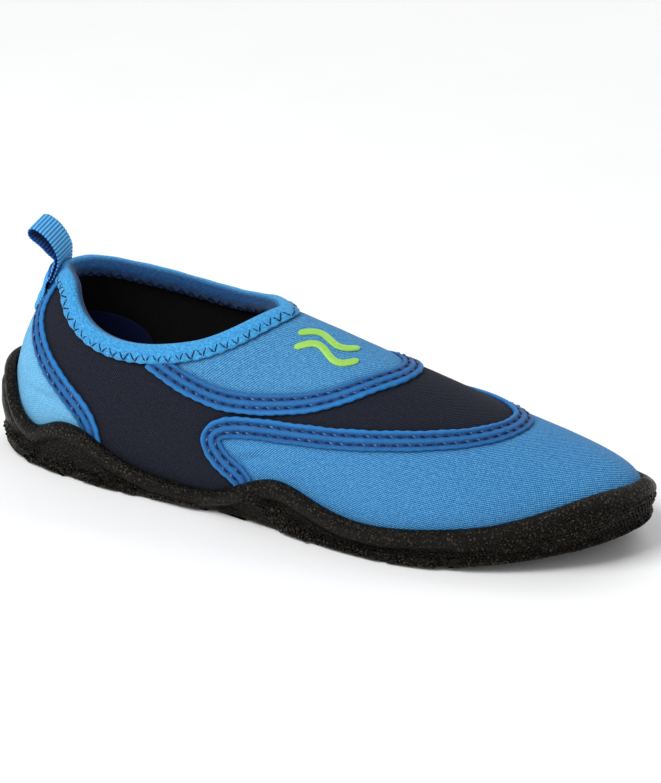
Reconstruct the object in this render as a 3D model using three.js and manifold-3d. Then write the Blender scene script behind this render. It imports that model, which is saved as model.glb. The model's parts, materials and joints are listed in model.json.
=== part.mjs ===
// Low-cut neoprene water shoe, right foot. Millimetres, +X toe, +Y inner side of the foot, +Z up.
// The upper is one smooth dome over the foot: every panel, tape, thread and print is laid on it by
// two surface coordinates: t runs from heel (0) to toe (1), v from the sole edge (0) to the ridge (1).
import * as THREE from 'three';
import { mergeVertices } from 'three/addons/utils/BufferGeometryUtils.js';
import Module from 'manifold-3d';

const wasm = await Module();
wasm.setup();

// ---------------------------------------------------------------- driving dimensions
const HEEL_X = 0.8;             // sole edge of the upper at the heel
const TOE_X = 253.5;            // sole edge of the upper at the toe
const RIDGE_HEEL_X = 46;        // ends of the ridge line over the foot
const RIDGE_TOE_X = 228;
const CENTRE = [126.6, -1.06];   // middle of the finished shoe, moved onto the origin

const PANEL = 2.4;              // neoprene thickness
const LINING = 0.8;             // knitted sock lining
const GAP = 0.3;                // seam gap between neighbouring pieces
const TAPE_WIDTH = 8.2;
const TAPE_LIFT = 0.4;
const TAPE_THICK = 0.8;
const NEEDLE_GAUGE = 3.4;       // distance between the two rows of a double-needle seam
const STITCH_PITCH = 4.3;
const THREAD = 0.38;            // thread radius
const BINDING_OUTER = 6.2;      // collar binding showing outside and inside the rim
const BINDING_INNER = 5.2;
const SOLE_WALL = 4.4;          // thickness of the rubber cup around the upper
const BASE_LIFT = 2.2;          // height of the tread lugs under the base
const RIBBON_WIDTH = 17.5;
const RIBBON_THICK = 0.9;

const ALONG = 30;               // facets of the upper along the foot and up each side
const UP = 9;

// ---------------------------------------------------------------- curves
// Cubic spline through [x, y] points; slopes at the ends are zero, or free when natural is true.
function spline(points, natural = false) {
  const n = points.length;
  const x = points.map((p) => p[0]);
  const y = points.map((p) => p[1]);
  const lower = new Array(n).fill(0);
  const main = new Array(n).fill(1);
  const upper = new Array(n).fill(0);
  const right = new Array(n).fill(0);
  for (let i = 1; i < n - 1; i++) {
    const a = x[i] - x[i - 1];
    const b = x[i + 1] - x[i];
    lower[i] = 1 / a;
    main[i] = 2 / a + 2 / b;
    upper[i] = 1 / b;
    right[i] = 3 * ((y[i] - y[i - 1]) / (a * a) + (y[i + 1] - y[i]) / (b * b));
  }
  if (natural) {
    const a = x[1] - x[0];
    const b = x[n - 1] - x[n - 2];
    main[0] = 2 / a;
    upper[0] = 1 / a;
    right[0] = (3 * (y[1] - y[0])) / (a * a);
    main[n - 1] = 2 / b;
    lower[n - 1] = 1 / b;
    right[n - 1] = (3 * (y[n - 1] - y[n - 2])) / (b * b);
  }
  for (let i = 1; i < n; i++) {
    const w = lower[i] / main[i - 1];
    main[i] -= w * upper[i - 1];
    right[i] -= w * right[i - 1];
  }
  const slope = new Array(n).fill(0);
  slope[n - 1] = right[n - 1] / main[n - 1];
  for (let i = n - 2; i >= 0; i--) {
    slope[i] = (right[i] - upper[i] * slope[i + 1]) / main[i];
  }
  return (q) => {
    const c = Math.min(Math.max(q, x[0]), x[n - 1]);
    let i = 0;
    while (i < n - 2 && c > x[i + 1]) i += 1;
    const h = x[i + 1] - x[i];
    const u = (c - x[i]) / h;
    const w = 1 - u;
    return y[i] * (1 + 2 * u) * w * w + slope[i] * h * u * w * w
      + y[i + 1] * u * u * (3 - 2 * u) + slope[i + 1] * h * u * u * (u - 1);
  };
}

// ---------------------------------------------------------------- the foot shape
const halfWidth = {
  [-1]: spline([[0, 56], [0.15, 47], [0.3, 39], [0.42, 37], [0.52, 42], [0.62, 49], [0.72, 52],
    [0.82, 52], [0.92, 51], [1, 50]]),
  [1]: spline([[0, 56], [0.15, 46], [0.3, 36], [0.42, 31], [0.52, 33], [0.62, 42], [0.72, 50],
    [0.82, 54], [0.92, 54], [1, 50]]),
};
const centreY = spline([[0, 0], [130, 0], [200, 3], [255, 9]]);
const featherZ = spline([[0, 9], [60, 8], [130, 7], [190, 7], [225, 10], [260, 16]]);
const wallReach = spline([[0, 30], [0.3, 26], [0.5, 20], [0.7, 14], [1, 10]]);
const wallLean = spline([[0, 21], [0.2, 12], [0.3, 9], [0.6, 14], [1, 20]]);
const domeReach = {
  [-1]: spline([[0, 25], [0.12, 22], [0.25, 21], [0.45, 17], [0.6, 26], [0.8, 30], [1, 22]]),
  [1]: spline([[0, 25], [0.15, 29], [0.3, 31], [0.45, 22], [0.6, 26], [0.8, 30], [1, 22]]),
};
const ridgeZ = spline([[46, 89.6], [80, 82], [105, 74.2], [118, 70.2], [130, 67.5], [150, 61.8],
  [165, 57], [185, 50.6], [205, 44.4], [228, 37.6]], true);

// Height of the tread above the ground: flat under heel and ball, lifted at heel edge and toe.
function ground(x) {
  if (x < 14) return 3 * ((14 - x) / 14) ** 2;
  if (x > 180) return 11 * ((x - 180) / 75) ** 1.6;
  return 0;
}

const along = (t) => (1 - Math.cos(Math.PI * t)) / 2;

function plan(t, side) {
  const x = HEEL_X + (TOE_X - HEEL_X) * along(t);
  return [x, centreY(x) + side * Math.sin(Math.PI * t) * halfWidth[side](t)];
}

// Plan position at t, carried round the heel or toe to the other side when t leaves 0..1.
function planRound(t, side) {
  if (t < 0) return plan(-t, -side);
  if (t > 1) return plan(2 - t, -side);
  return plan(t, side);
}

function planNormal(t, side) {
  const a = planRound(t - 1e-4, side);
  const b = planRound(t + 1e-4, side);
  const length = Math.hypot(b[0] - a[0], b[1] - a[1]);
  return [(-side * (b[1] - a[1])) / length, (side * (b[0] - a[0])) / length];
}

// A point of the upper's outer face.
function ridgeGrade(x) {
  const q = THREE.MathUtils.clamp(x, RIDGE_HEEL_X + 0.5, RIDGE_TOE_X - 0.5);
  return ridgeZ(q + 0.5) - ridgeZ(q - 0.5);
}

function surface(t, v, sideOrRidge) {
  const side = sideOrRidge || -1;
  const [x, y] = plan(t, side);
  const n = planNormal(t, side);
  const lean = THREE.MathUtils.degToRad(wallLean(t));
  const reach = wallReach(t);
  const foot = new THREE.Vector3(x, y, featherZ(x));
  const wall = foot.clone().add(new THREE.Vector3(
    n[0] * Math.sin(lean), n[1] * Math.sin(lean), Math.cos(lean)).multiplyScalar(reach));
  const rx = RIDGE_HEEL_X + (RIDGE_TOE_X - RIDGE_HEEL_X) * along(t);
  const top = new THREE.Vector3(rx, centreY(rx), ridgeZ(rx));
  const grade = ridgeGrade(rx);
  const dx = -Math.cos(Math.PI * t);
  const dy = side * Math.sin(Math.PI * t);
  const dome = top.clone().add(
    new THREE.Vector3(dx, dy, grade * dx).multiplyScalar(domeReach[side](t)));
  const w = 1 - v;
  return foot.multiplyScalar(w * w * w)
    .addScaledVector(wall, 3 * v * w * w)
    .addScaledVector(dome, 3 * v * v * w)
    .addScaledVector(top, v * v * v);
}

// The upper's point for t and v slightly out of range, carried round onto the other side.
function surfaceRound(t, v, side) {
  if (t < 0) return surface(-t, v, -side);
  if (t > 1) return surface(2 - t, v, -side);
  return surface(t, v, side);
}

function frame(t, v, sideOrRidge) {
  const side = sideOrRidge || -1;
  const e = 1e-3;
  const v0 = Math.max(v - e, 0);
  const v1 = Math.min(v + e, 1);
  const dt = surfaceRound(t + e, v, side).sub(surfaceRound(t - e, v, side)).divideScalar(2 * e);
  const dv = surface(t, v1, side).sub(surface(t, v0, side)).divideScalar(v1 - v0);
  const normal = new THREE.Vector3().crossVectors(dt, dv).multiplyScalar(-side).normalize();
  if (v > 0.999) {
    const rx = RIDGE_HEEL_X + (RIDGE_TOE_X - RIDGE_HEEL_X) * along(t);
    normal.set(-ridgeGrade(rx), 0, 1).normalize();
  }
  return { dt, dv, normal };
}

// The surface raised along its normal.
function raised(t, v, side, height) {
  return surface(t, v, side).addScaledVector(frame(t, v, side).normal, height);
}

// Surface coordinates of the point of the upper nearest to q, starting from a nearby guess.
function nearest(q, guess) {
  let { t, v, side } = guess;
  for (let k = 0; k < 6; k++) {
    const { dt, dv } = frame(t, v, side);
    const r = q.clone().sub(surface(t, v, side));
    const a = dt.dot(dt);
    const b = dt.dot(dv);
    const d = dv.dot(dv);
    const det = a * d - b * b;
    const e = r.dot(dt);
    const f = r.dot(dv);
    t += THREE.MathUtils.clamp((e * d - f * b) / det, -0.05, 0.05);
    v += THREE.MathUtils.clamp((f * a - e * b) / det, -0.08, 0.08);
    if (v > 1) {
      v = 2 - v;
      side = -side;
    }
    if (t < 0) {
      t = -t;
      side = -side;
    }
    if (t > 1) {
      t = 2 - t;
      side = -side;
    }
    v = Math.max(v, 0);
  }
  return { t, v, side };
}

// ---------------------------------------------------------------- lines drawn on the upper
// Each line is a list of [t, v] for one side, from its start at the sole or heel to the ridge.
const TOE_SEAM = [[0.462, -0.02], [0.461, 0.06], [0.457, 0.13], [0.438, 0.175], [0.42, 0.225],
  [0.412, 0.272], [0.417, 0.31], [0.432, 0.343], [0.461, 0.375], [0.5, 0.413], [0.536, 0.457],
  [0.577, 0.522], [0.63, 0.622], [0.688, 0.752], [0.735, 0.88], [0.763, 0.958], [0.778, 1]];
const INSTEP_SEAM = {
  [-1]: [[0.25, 0.548], [0.29, 0.495], [0.334, 0.453], [0.376, 0.429], [0.409, 0.43],
    [0.444, 0.462], [0.478, 0.513], [0.507, 0.58], [0.536, 0.69], [0.565, 0.83], [0.583, 0.93],
    [0.591, 1]],
  [1]: [[0.24, 0.74], [0.28, 0.645], [0.32, 0.567], [0.36, 0.517], [0.4, 0.497], [0.44, 0.504],
    [0.477, 0.53], [0.507, 0.588], [0.536, 0.69], [0.565, 0.83], [0.583, 0.93], [0.591, 1]],
};
const HEEL_SEAM = [[0.272, -0.02], [0.272, 0.1], [0.264, 0.152], [0.244, 0.205], [0.205, 0.262],
  [0.155, 0.325], [0.11, 0.385], [0.076, 0.44], [0.051, 0.51], [0.043, 0.58], [0.042, 0.7]];
const COLLAR = {
  [-1]: [[0, 0.632], [0.045, 0.632], [0.08, 0.626], [0.107, 0.61], [0.13, 0.58],
    [0.16, 0.541], [0.197, 0.505], [0.232, 0.486], [0.267, 0.486], [0.3, 0.508],
    [0.327, 0.545], [0.352, 0.597], [0.371, 0.666], [0.387, 0.765], [0.398, 0.88], [0.404, 1]],
  [1]: [[0, 0.632], [0.045, 0.636], [0.09, 0.643], [0.147, 0.645], [0.21, 0.64], [0.27, 0.645],
    [0.32, 0.662], [0.355, 0.702], [0.38, 0.78], [0.396, 0.885], [0.404, 1]],
};
// Top of the rubber cup: v of the rim over t.
const RIM = {
  [-1]: spline([[0, 0.25], [0.05, 0.238], [0.085, 0.2], [0.115, 0.135], [0.15, 0.088],
    [0.178, 0.082], [0.207, 0.12], [0.24, 0.14], [0.268, 0.125], [0.3, 0.08], [0.345, 0.03],
    [0.385, 0.014], [0.415, 0.018], [0.44, 0.055], [0.465, 0.13], [0.495, 0.188],
    [0.533, 0.161], [0.58, 0.112], [0.62, 0.118], [0.66, 0.15], [0.73, 0.225], [0.8, 0.345],
    [0.86, 0.42], [0.93, 0.435], [1, 0.42]]),
  [1]: spline([[0, 0.25], [0.05, 0.238], [0.09, 0.2], [0.13, 0.13], [0.17, 0.1], [0.22, 0.13],
    [0.26, 0.13], [0.31, 0.08], [0.36, 0.045], [0.41, 0.045], [0.455, 0.11], [0.49, 0.17],
    [0.53, 0.16], [0.58, 0.12], [0.64, 0.14], [0.7, 0.16], [0.78, 0.15], [0.86, 0.16],
    [0.91, 0.21], [0.95, 0.3], [1, 0.42]]),
};

// A dense, evenly spaced copy of a [t, v] line on one side, with its points in space.
function lineOn(points, side, step = 2.5) {
  let length = 0;
  const knots = points.map((p, i) => {
    if (i > 0) length += Math.hypot((p[0] - points[i - 1][0]) * 250, (p[1] - points[i - 1][1]) * 110);
    return length;
  });
  const t = spline(points.map((p, i) => [knots[i], p[0]]), true);
  const v = spline(points.map((p, i) => [knots[i], p[1]]), true);
  const fine = [];
  for (let i = 0; i <= 200; i++) {
    const q = (length * i) / 200;
    const place = { t: Math.abs(t(q)), v: THREE.MathUtils.clamp(v(q), 0, 1), side };
    fine.push({ ...place, at: surface(place.t, place.v, side) });
  }
  return resample(fine, step);
}

function resample(fine, step) {
  const run = [0];
  for (let i = 1; i < fine.length; i++) run.push(run[i - 1] + fine[i].at.distanceTo(fine[i - 1].at));
  const total = run[run.length - 1];
  const count = Math.max(2, Math.round(total / step));
  const out = [];
  let k = 0;
  for (let i = 0; i <= count; i++) {
    const goal = (total * i) / count;
    while (k < fine.length - 2 && run[k + 1] < goal) k += 1;
    const u = (goal - run[k]) / Math.max(run[k + 1] - run[k], 1e-9);
    const guess = u < 0.5 ? fine[k] : fine[k + 1];
    const at = fine[k].at.clone().lerp(fine[k + 1].at, u);
    const place = nearest(at, guess);
    out.push({ ...place, at: surface(place.t, place.v, place.side) });
  }
  return out;
}

const lines = {
  toe: { [-1]: lineOn(TOE_SEAM, -1), [1]: lineOn(TOE_SEAM, 1) },
  instep: { [-1]: lineOn(INSTEP_SEAM[-1], -1), [1]: lineOn(INSTEP_SEAM[1], 1) },
  heel: { [-1]: lineOn(HEEL_SEAM, -1), [1]: lineOn(HEEL_SEAM, 1) },
  collar: { [-1]: lineOn(COLLAR[-1], -1), [1]: lineOn(COLLAR[1], 1) },
};

// Both sides of a line joined across the ridge into one run.
function across(line, step) {
  const whole = line[-1].concat(line[1].slice(0, -1).reverse());
  return resample(whole, step);
}

// Signed distance from a place on the upper to a line: positive on the line's left.
function distance(line, place) {
  const side = place.side || -1;
  const run = line[side];
  const p = [place.t * 250, place.v * 110];
  const at = surface(place.t, place.v, side);
  let best = Infinity;
  let turn = 0;
  let gap = Infinity;
  const segment = new THREE.Line3();
  const foot = new THREE.Vector3();
  for (let i = 0; i < run.length - 1; i++) {
    const a = [run[i].t * 250, run[i].v * 110];
    const d = [run[i + 1].t * 250 - a[0], run[i + 1].v * 110 - a[1]];
    const r = [p[0] - a[0], p[1] - a[1]];
    const u = THREE.MathUtils.clamp((r[0] * d[0] + r[1] * d[1]) / (d[0] ** 2 + d[1] ** 2), 0, 1);
    const away = Math.hypot(r[0] - u * d[0], r[1] - u * d[1]);
    if (away < best) {
      best = away;
      turn = d[0] * r[1] - d[1] * r[0];
    }
    segment.set(run[i].at, run[i + 1].at);
    segment.closestPointToPoint(at, true, foot);
    gap = Math.min(gap, foot.distanceTo(at));
  }
  return turn >= 0 ? gap : -gap;
}

// ---------------------------------------------------------------- sheets laid on the upper
// The whole dome as polygons of surface places; both sides share the ridge, heel and toe lines.
function domeSheet(countT, countV) {
  const places = [];
  const index = new Map();
  const place = (i, j, side) => {
    const shared = j === countV || i === 0 || i === countT;
    const key = `${i},${j},${shared ? 0 : side}`;
    if (!index.has(key)) {
      index.set(key, places.length);
      places.push({ t: i / countT, v: j / countV, side: shared ? 0 : side });
    }
    return index.get(key);
  };
  const faces = [];
  for (const side of [-1, 1]) {
    for (let i = 0; i < countT; i++) {
      for (let j = 0; j < countV; j++) {
        const quad = [place(i, j, side), place(i + 1, j, side), place(i + 1, j + 1, side),
          place(i, j + 1, side)];
        faces.push({ side, loop: side < 0 ? quad : quad.reverse() });
      }
    }
  }
  return { places, faces };
}

// Keep the part of a sheet where f is positive.
function keep(sheet, f, snap = 0.06) {
  const places = sheet.places.slice();
  const value = places.map((p) => {
    const q = f(p);
    return Math.abs(q) < snap ? 0 : q;
  });
  const cuts = new Map();
  const cut = (a, b, side) => {
    const key = a < b ? `${a}_${b}` : `${b}_${a}`;
    if (cuts.has(key)) return cuts.get(key);
    const [lo, hi] = a < b ? [a, b] : [b, a];
    const own = places[lo].side || places[hi].side || (
      places[lo].v === 1 && places[hi].v === 1 ? 0 : (places[lo].t === places[hi].t ? 0 : side));
    let u0 = 0;
    let u1 = 1;
    let f0 = value[lo];
    let middle = null;
    for (let k = 0; k < 9; k++) {
      const u = (u0 + u1) / 2;
      middle = {
        t: places[lo].t + u * (places[hi].t - places[lo].t),
        v: places[lo].v + u * (places[hi].v - places[lo].v),
        side: own,
      };
      const q = f(middle);
      if (q * f0 > 0) {
        u0 = u;
        f0 = q;
      } else {
        u1 = u;
      }
    }
    places.push(middle);
    value.push(0);
    cuts.set(key, places.length - 1);
    return places.length - 1;
  };
  const faces = [];
  for (const face of sheet.faces) {
    const loop = [];
    const n = face.loop.length;
    for (let i = 0; i < n; i++) {
      const a = face.loop[i];
      const b = face.loop[(i + 1) % n];
      if (value[a] >= 0) loop.push(a);
      if (value[a] * value[b] < 0) loop.push(cut(a, b, face.side));
    }
    if (loop.length > 2 && loop.some((i) => value[i] > 0)) faces.push({ side: face.side, loop });
  }
  return { places, faces };
}

// A closed solid between two heights over a sheet.
function thicken(sheet, high, low) {
  const used = [...new Set(sheet.faces.flatMap((face) => face.loop))];
  const slot = new Map(used.map((p, i) => [p, i]));
  const points = [];
  for (const height of [high, low]) {
    for (const p of used) {
      const { t, v, side } = sheet.places[p];
      points.push(raised(t, v, side, height));
    }
  }
  const n = used.length;
  const triangles = [];
  const edges = new Set();
  for (const { loop } of sheet.faces) {
    const ids = loop.map((p) => slot.get(p));
    for (let i = 0; i < ids.length; i++) edges.add(`${ids[i]}_${ids[(i + 1) % ids.length]}`);
    for (let i = 1; i < ids.length - 1; i++) {
      triangles.push([ids[0], ids[i], ids[i + 1]]);
      triangles.push([n + ids[0], n + ids[i + 1], n + ids[i]]);
    }
  }
  for (const edge of edges) {
    const [a, b] = edge.split('_').map(Number);
    if (edges.has(`${b}_${a}`)) continue;
    triangles.push([b, a, n + a]);
    triangles.push([b, n + a, n + b]);
  }
  return geometryFrom(points, triangles);
}

function geometryFrom(points, triangles) {
  const position = new Float32Array(points.length * 3);
  points.forEach((p, i) => p.toArray(position, i * 3));
  const geometry = new THREE.BufferGeometry();
  geometry.setAttribute('position', new THREE.BufferAttribute(position, 3));
  geometry.setIndex(triangles.flat());
  return geometry;
}

// ---------------------------------------------------------------- swept pieces on the upper
// Rings of equal point count joined into a closed solid; closed runs join end to start.
function loft(rings, isLoop) {
  const count = rings[0].length;
  const points = rings.flat();
  const triangles = [];
  const last = isLoop ? rings.length : rings.length - 1;
  for (let i = 0; i < last; i++) {
    const a = i * count;
    const b = ((i + 1) % rings.length) * count;
    for (let j = 0; j < count; j++) {
      const k = (j + 1) % count;
      triangles.push([a + j, a + k, b + k]);
      triangles.push([a + j, b + k, b + j]);
    }
  }
  if (!isLoop) {
    // Each end is zipped shut between its lower and upper edges.
    const end = (rings.length - 1) * count;
    let low = 0;
    let high = count - 1;
    let fromLow = true;
    while (high - low > 1) {
      const next = fromLow ? low + 1 : high - 1;
      triangles.push([low, high, next]);
      triangles.push([end + low, end + next, end + high]);
      if (fromLow) low = next;
      else high = next;
      fromLow = !fromLow;
    }
  }
  const geometry = geometryFrom(points, triangles);
  if (solidFrom(geometry).volume() < 0) {
    const flipped = triangles.map(([a, b, c]) => [a, c, b]);
    return geometryFrom(points, flipped);
  }
  return geometry;
}

// For each place of a run: its direction across the run, measured in the surface.
function crossways(run, isLoop) {
  return run.map((place, i) => {
    const n = run.length;
    const before = run[isLoop ? (i - 1 + n) % n : Math.max(i - 1, 0)].at;
    const after = run[isLoop ? (i + 1) % n : Math.min(i + 1, n - 1)].at;
    const tangent = after.clone().sub(before).normalize();
    const { normal } = frame(place.t, place.v, place.side);
    return new THREE.Vector3().crossVectors(normal, tangent).normalize();
  });
}

// The place a given distance across from a run's place.
function beside(place, cross, reach) {
  if (reach === 0) return place;
  let here = place;
  const steps = Math.ceil(Math.abs(reach) / 3);
  for (let k = 1; k <= steps; k++) {
    const q = place.at.clone().addScaledVector(cross, (reach * k) / steps);
    here = nearest(q, here);
  }
  return here;
}

// A band with a given section, [across, height] points, laid along a run.
// lift may add height along the run, as a function of the index in the run.
function band(run, section, isLoop = false, lift = () => 0) {
  const cross = crossways(run, isLoop);
  const rings = run.map((place, i) => section.map(([reach, height]) => {
    const p = beside(place, cross[i], reach);
    return raised(p.t, p.v, p.side, height + lift(i));
  }));
  return loft(rings, isLoop);
}

const tapeSection = [
  [-TAPE_WIDTH / 2, TAPE_LIFT], [0, TAPE_LIFT], [TAPE_WIDTH / 2, TAPE_LIFT],
  [TAPE_WIDTH / 2, TAPE_LIFT + TAPE_THICK * 0.6],
  [TAPE_WIDTH / 2 - 1, TAPE_LIFT + TAPE_THICK], [-TAPE_WIDTH / 2 + 1, TAPE_LIFT + TAPE_THICK],
  [-TAPE_WIDTH / 2, TAPE_LIFT + TAPE_THICK * 0.6],
];

// A sewing thread: one continuous strand lying on top of the tape.
function threadOn(run, reach) {
  const h = TAPE_LIFT + TAPE_THICK + 0.16;
  return band(run, [[reach - THREAD, h], [reach + THREAD, h], [reach, h + 2 * THREAD]]);
}

// ---------------------------------------------------------------- assembly helpers
const shoe = new THREE.Group();
shoe.position.set(-CENTRE[0], -CENTRE[1], 0);
const part = new THREE.Group();
part.add(shoe);

function material(colour, roughness) {
  return new THREE.MeshStandardMaterial({ color: colour, roughness, metalness: 0 });
}

const BLUE = material('#478ac0', 0.8);
const PALE_BLUE = material('#599ed2', 0.8);
const NAVY = material('#262a38', 0.85);
const TAPE_BLUE = material('#2268b4', 0.7);
const COLLAR_BLUE = material('#3d92d2', 0.7);
const THREAD_NAVY = material('#141c3c', 0.6);
const RUBBER = material('#24201c', 0.75);
const BLACK = material('#100e0b', 0.9);
const ROYAL = material('#14255e', 0.85);
const RIBBON = material('#4592c8', 0.65);
const LIME = material('#9bcf5a', 0.5);

function add(name, geometry, look) {
  const mesh = new THREE.Mesh(geometry, look);
  mesh.name = name;
  shoe.add(mesh);
  return mesh;
}

function solidFrom(geometry) {
  const bare = geometry.clone();
  bare.deleteAttribute('normal');
  bare.deleteAttribute('uv');
  const merged = mergeVertices(bare, 1e-5);
  return new wasm.Manifold(new wasm.Mesh({
    numProp: 3,
    vertProperties: new Float32Array(merged.attributes.position.array),
    triVerts: new Uint32Array(merged.index.array),
  }));
}

function geometryOf(solid) {
  const mesh = solid.getMesh();
  const geometry = new THREE.BufferGeometry();
  geometry.setAttribute('position', new THREE.BufferAttribute(mesh.vertProperties, 3));
  geometry.setIndex(new THREE.BufferAttribute(mesh.triVerts, 1));
  return geometry;
}

// ---------------------------------------------------------------- upper panels
const dome = domeSheet(ALONG, UP);
const half = GAP / 2;
const belowCollar = (p) => -distance(lines.collar, p);
const inToe = (p) => -distance(lines.toe, p);
const inInstep = (p) => distance(lines.instep, p);
const inHeel = (p) => distance(lines.heel, p);

const upper = keep(dome, (p) => belowCollar(p) - 0.7);
const toeSheet = keep(upper, (p) => inToe(p) - half);
const notToe = keep(upper, (p) => -inToe(p) - half);
const instepSheet = keep(notToe, (p) => inInstep(p) - half);
const notInstep = keep(notToe, (p) => -inInstep(p) - half);
const heelSheet = keep(notInstep, (p) => inHeel(p) - half);
const sideSheet = keep(notInstep, (p) => -inHeel(p) - half);

add('side_panel', thicken(sideSheet, 0, -PANEL), NAVY);
add('instep_panel', thicken(instepSheet, 0, -PANEL), BLUE);
add('toe_panel', thicken(toeSheet, 0, -PANEL), BLUE);
add('heel_panel', thicken(heelSheet, 0, -PANEL), PALE_BLUE);
const liningTop = -PANEL - GAP;
add('lining_sock', thicken(upper, liningTop, liningTop - LINING), BLACK);

// Royal blue reinforcement inside the heel.
const patchTop = liningTop - LINING - 0.5;
const patchSheet = keep(keep(dome, (p) => (p.v - 0.11) * 110),
  (p) => (1 - (p.t / 0.272) ** 6 - (p.v / 0.41) ** 6) * 10);
add('heel_lining_patch', thicken(patchSheet, patchTop, patchTop - 0.6), ROYAL);

// ---------------------------------------------------------------- collar binding and its zigzag
const rim = resample(lines.collar[-1].concat(lines.collar[1].slice(1, -1).reverse(),
  [lines.collar[-1][0]]), 3.8).slice(0, -1);
const inside = patchTop - 0.1;
const bindingSection = [
  [-BINDING_OUTER, 0.6], [-BINDING_OUTER, 1.1], [-BINDING_OUTER + 1, 1.5], [0.4, 1.5],
  [1.5, 0.3], [1.7, -2], [1.1, inside - 0.7], [-BINDING_INNER, inside - 1],
  [-BINDING_INNER, inside], [0.35, inside], [0.35, 0.55], [-3.6, 0.6],
];
add('collar_binding', band(rim, bindingSection, true), COLLAR_BLUE);

// A zigzag sewn round the collar; reach is the depth below the rim at its two edges.
function zigzag(near, far, height, radius) {
  const run = resample(rim.concat([rim[0]]), STITCH_PITCH / 2).slice(0, -1);
  const even = run.length % 2 === 0 ? run : run.slice(0, -1);
  const cross = crossways(even, true);
  const rings = even.map((place, i) => {
    const reach = i % 2 ? near : far;
    const offsets = [[-radius, 0], [radius, 0], [0, Math.sign(height) * 2 * radius]];
    return offsets.map(([w, h]) => {
      const p = beside(place, cross[i], reach + w);
      return raised(p.t, p.v, p.side, height + h);
    });
  });
  return loft(rings, true);
}
add('collar_zigzag_stitch', zigzag(-2, -5.3, 1.65, 0.3), THREAD_NAVY);

// ---------------------------------------------------------------- seam tapes and their threads
// Keep the run between the rubber rim and the collar binding.
function seam(name, run, rows, collarMargin) {
  const open = run.filter((p) => -distance(lines.collar, p) > BINDING_OUTER + collarMargin
    && p.v > RIM[p.side](p.t) + 0.07);
  const even = resample(open, 5.5);
  add(`${name}_tape`, band(even, tapeSection), TAPE_BLUE);
  const stitches = resample(open, STITCH_PITCH);
  const inner = stitches.slice(1, -1);
  rows.forEach((row, i) => {
    add(row, threadOn(inner, (i ? 1 : -1) * (NEEDLE_GAUGE / 2)), THREAD_NAVY);
  });
}

seam('toe_seam', across(lines.toe, 2.5), ['toe_stitch_lower', 'toe_stitch_upper'], 0);
seam('instep_seam', across(lines.instep, 2.5),
  ['instep_stitch_lower', 'instep_stitch_upper'], 4.5);
seam('heel_seam_lateral', lines.heel[-1],
  ['heel_stitch_lateral_front', 'heel_stitch_lateral_rear'], 1.2);
seam('heel_seam_medial', lines.heel[1],
  ['heel_stitch_medial_rear', 'heel_stitch_medial_front'], 1.2);

// ---------------------------------------------------------------- raised print on the instep
function printBar(t0, v0, length, amplitude) {
  const fine = [];
  for (let i = 0; i <= 24; i++) {
    const u = i / 24;
    const t = t0 + length * u;
    const v = v0 + amplitude * Math.sin(u * Math.PI * 2) + 0.1 * u;
    fine.push({ t, v, side: -1, at: surface(t, v, -1) });
  }
  return resample(fine, 2.5);
}
const printSection = [[-1.5, 0.3], [1.5, 0.3], [1.5, 0.65], [-1.5, 0.65]];
add('print_wave_lower', band(printBar(0.452, 0.76, 0.075, 0.045), printSection), LIME);
add('print_wave_upper', band(printBar(0.445, 0.85, 0.075, 0.04), printSection), LIME);

// ---------------------------------------------------------------- insole board and footbed
// A plate following the sole edge, inset by a plan distance, between two heights above it.
function plate(inset, low, high, rows) {
  const left = [];
  const right = [];
  for (let i = 1; i < rows; i++) {
    const t = i / rows;
    for (const [side, list] of [[-1, left], [1, right]]) {
      const [x, y] = plan(t, side);
      const n = planNormal(t, side);
      list.push(new THREE.Vector3(x - n[0] * inset, y - n[1] * inset, featherZ(x)));
    }
  }
  const rings = left.map((a, i) => {
    const b = right[i];
    const lift = (p, h) => p.clone().setZ(p.z + h);
    return [lift(a, low), lift(b, low), lift(b, high), lift(a, high)];
  });
  return loft(rings, false);
}
add('insole_board', plate(4.4, 0.2, 2, 26), BLACK);
add('footbed', plate(5.2, 2.3, 6, 26), BLACK);

// ---------------------------------------------------------------- rubber outsole
function soleRing(side, t) {
  const [x, y] = plan(t, side);
  const n = planNormal(t, side);
  const at = (out, z) => new THREE.Vector3(x + n[0] * out, y + n[1] * out, z);
  const g = ground(x);
  const edge = featherZ(x);
  const top = RIM[side](t);
  const wall = (v, out) => raised(t, v, side, out);
  return [
    at(-7, g + BASE_LIFT), at(2.4, g + BASE_LIFT), at(4.2, g + BASE_LIFT + 0.9),
    at(4.9, g * 0.5 + edge * 0.5 + 0.8),
    wall(0, SOLE_WALL + 0.3), wall(top * 0.35, SOLE_WALL), wall(top * 0.7, SOLE_WALL),
    wall(top, SOLE_WALL + 0.5), wall(top + 0.025, SOLE_WALL - 0.3), wall(top + 0.03, 1.8),
    wall(top + 0.01, 0.75), wall(top * 0.5, 0.75), wall(0, 0.75), at(0.75, edge - 0.7),
  ];
}

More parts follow.
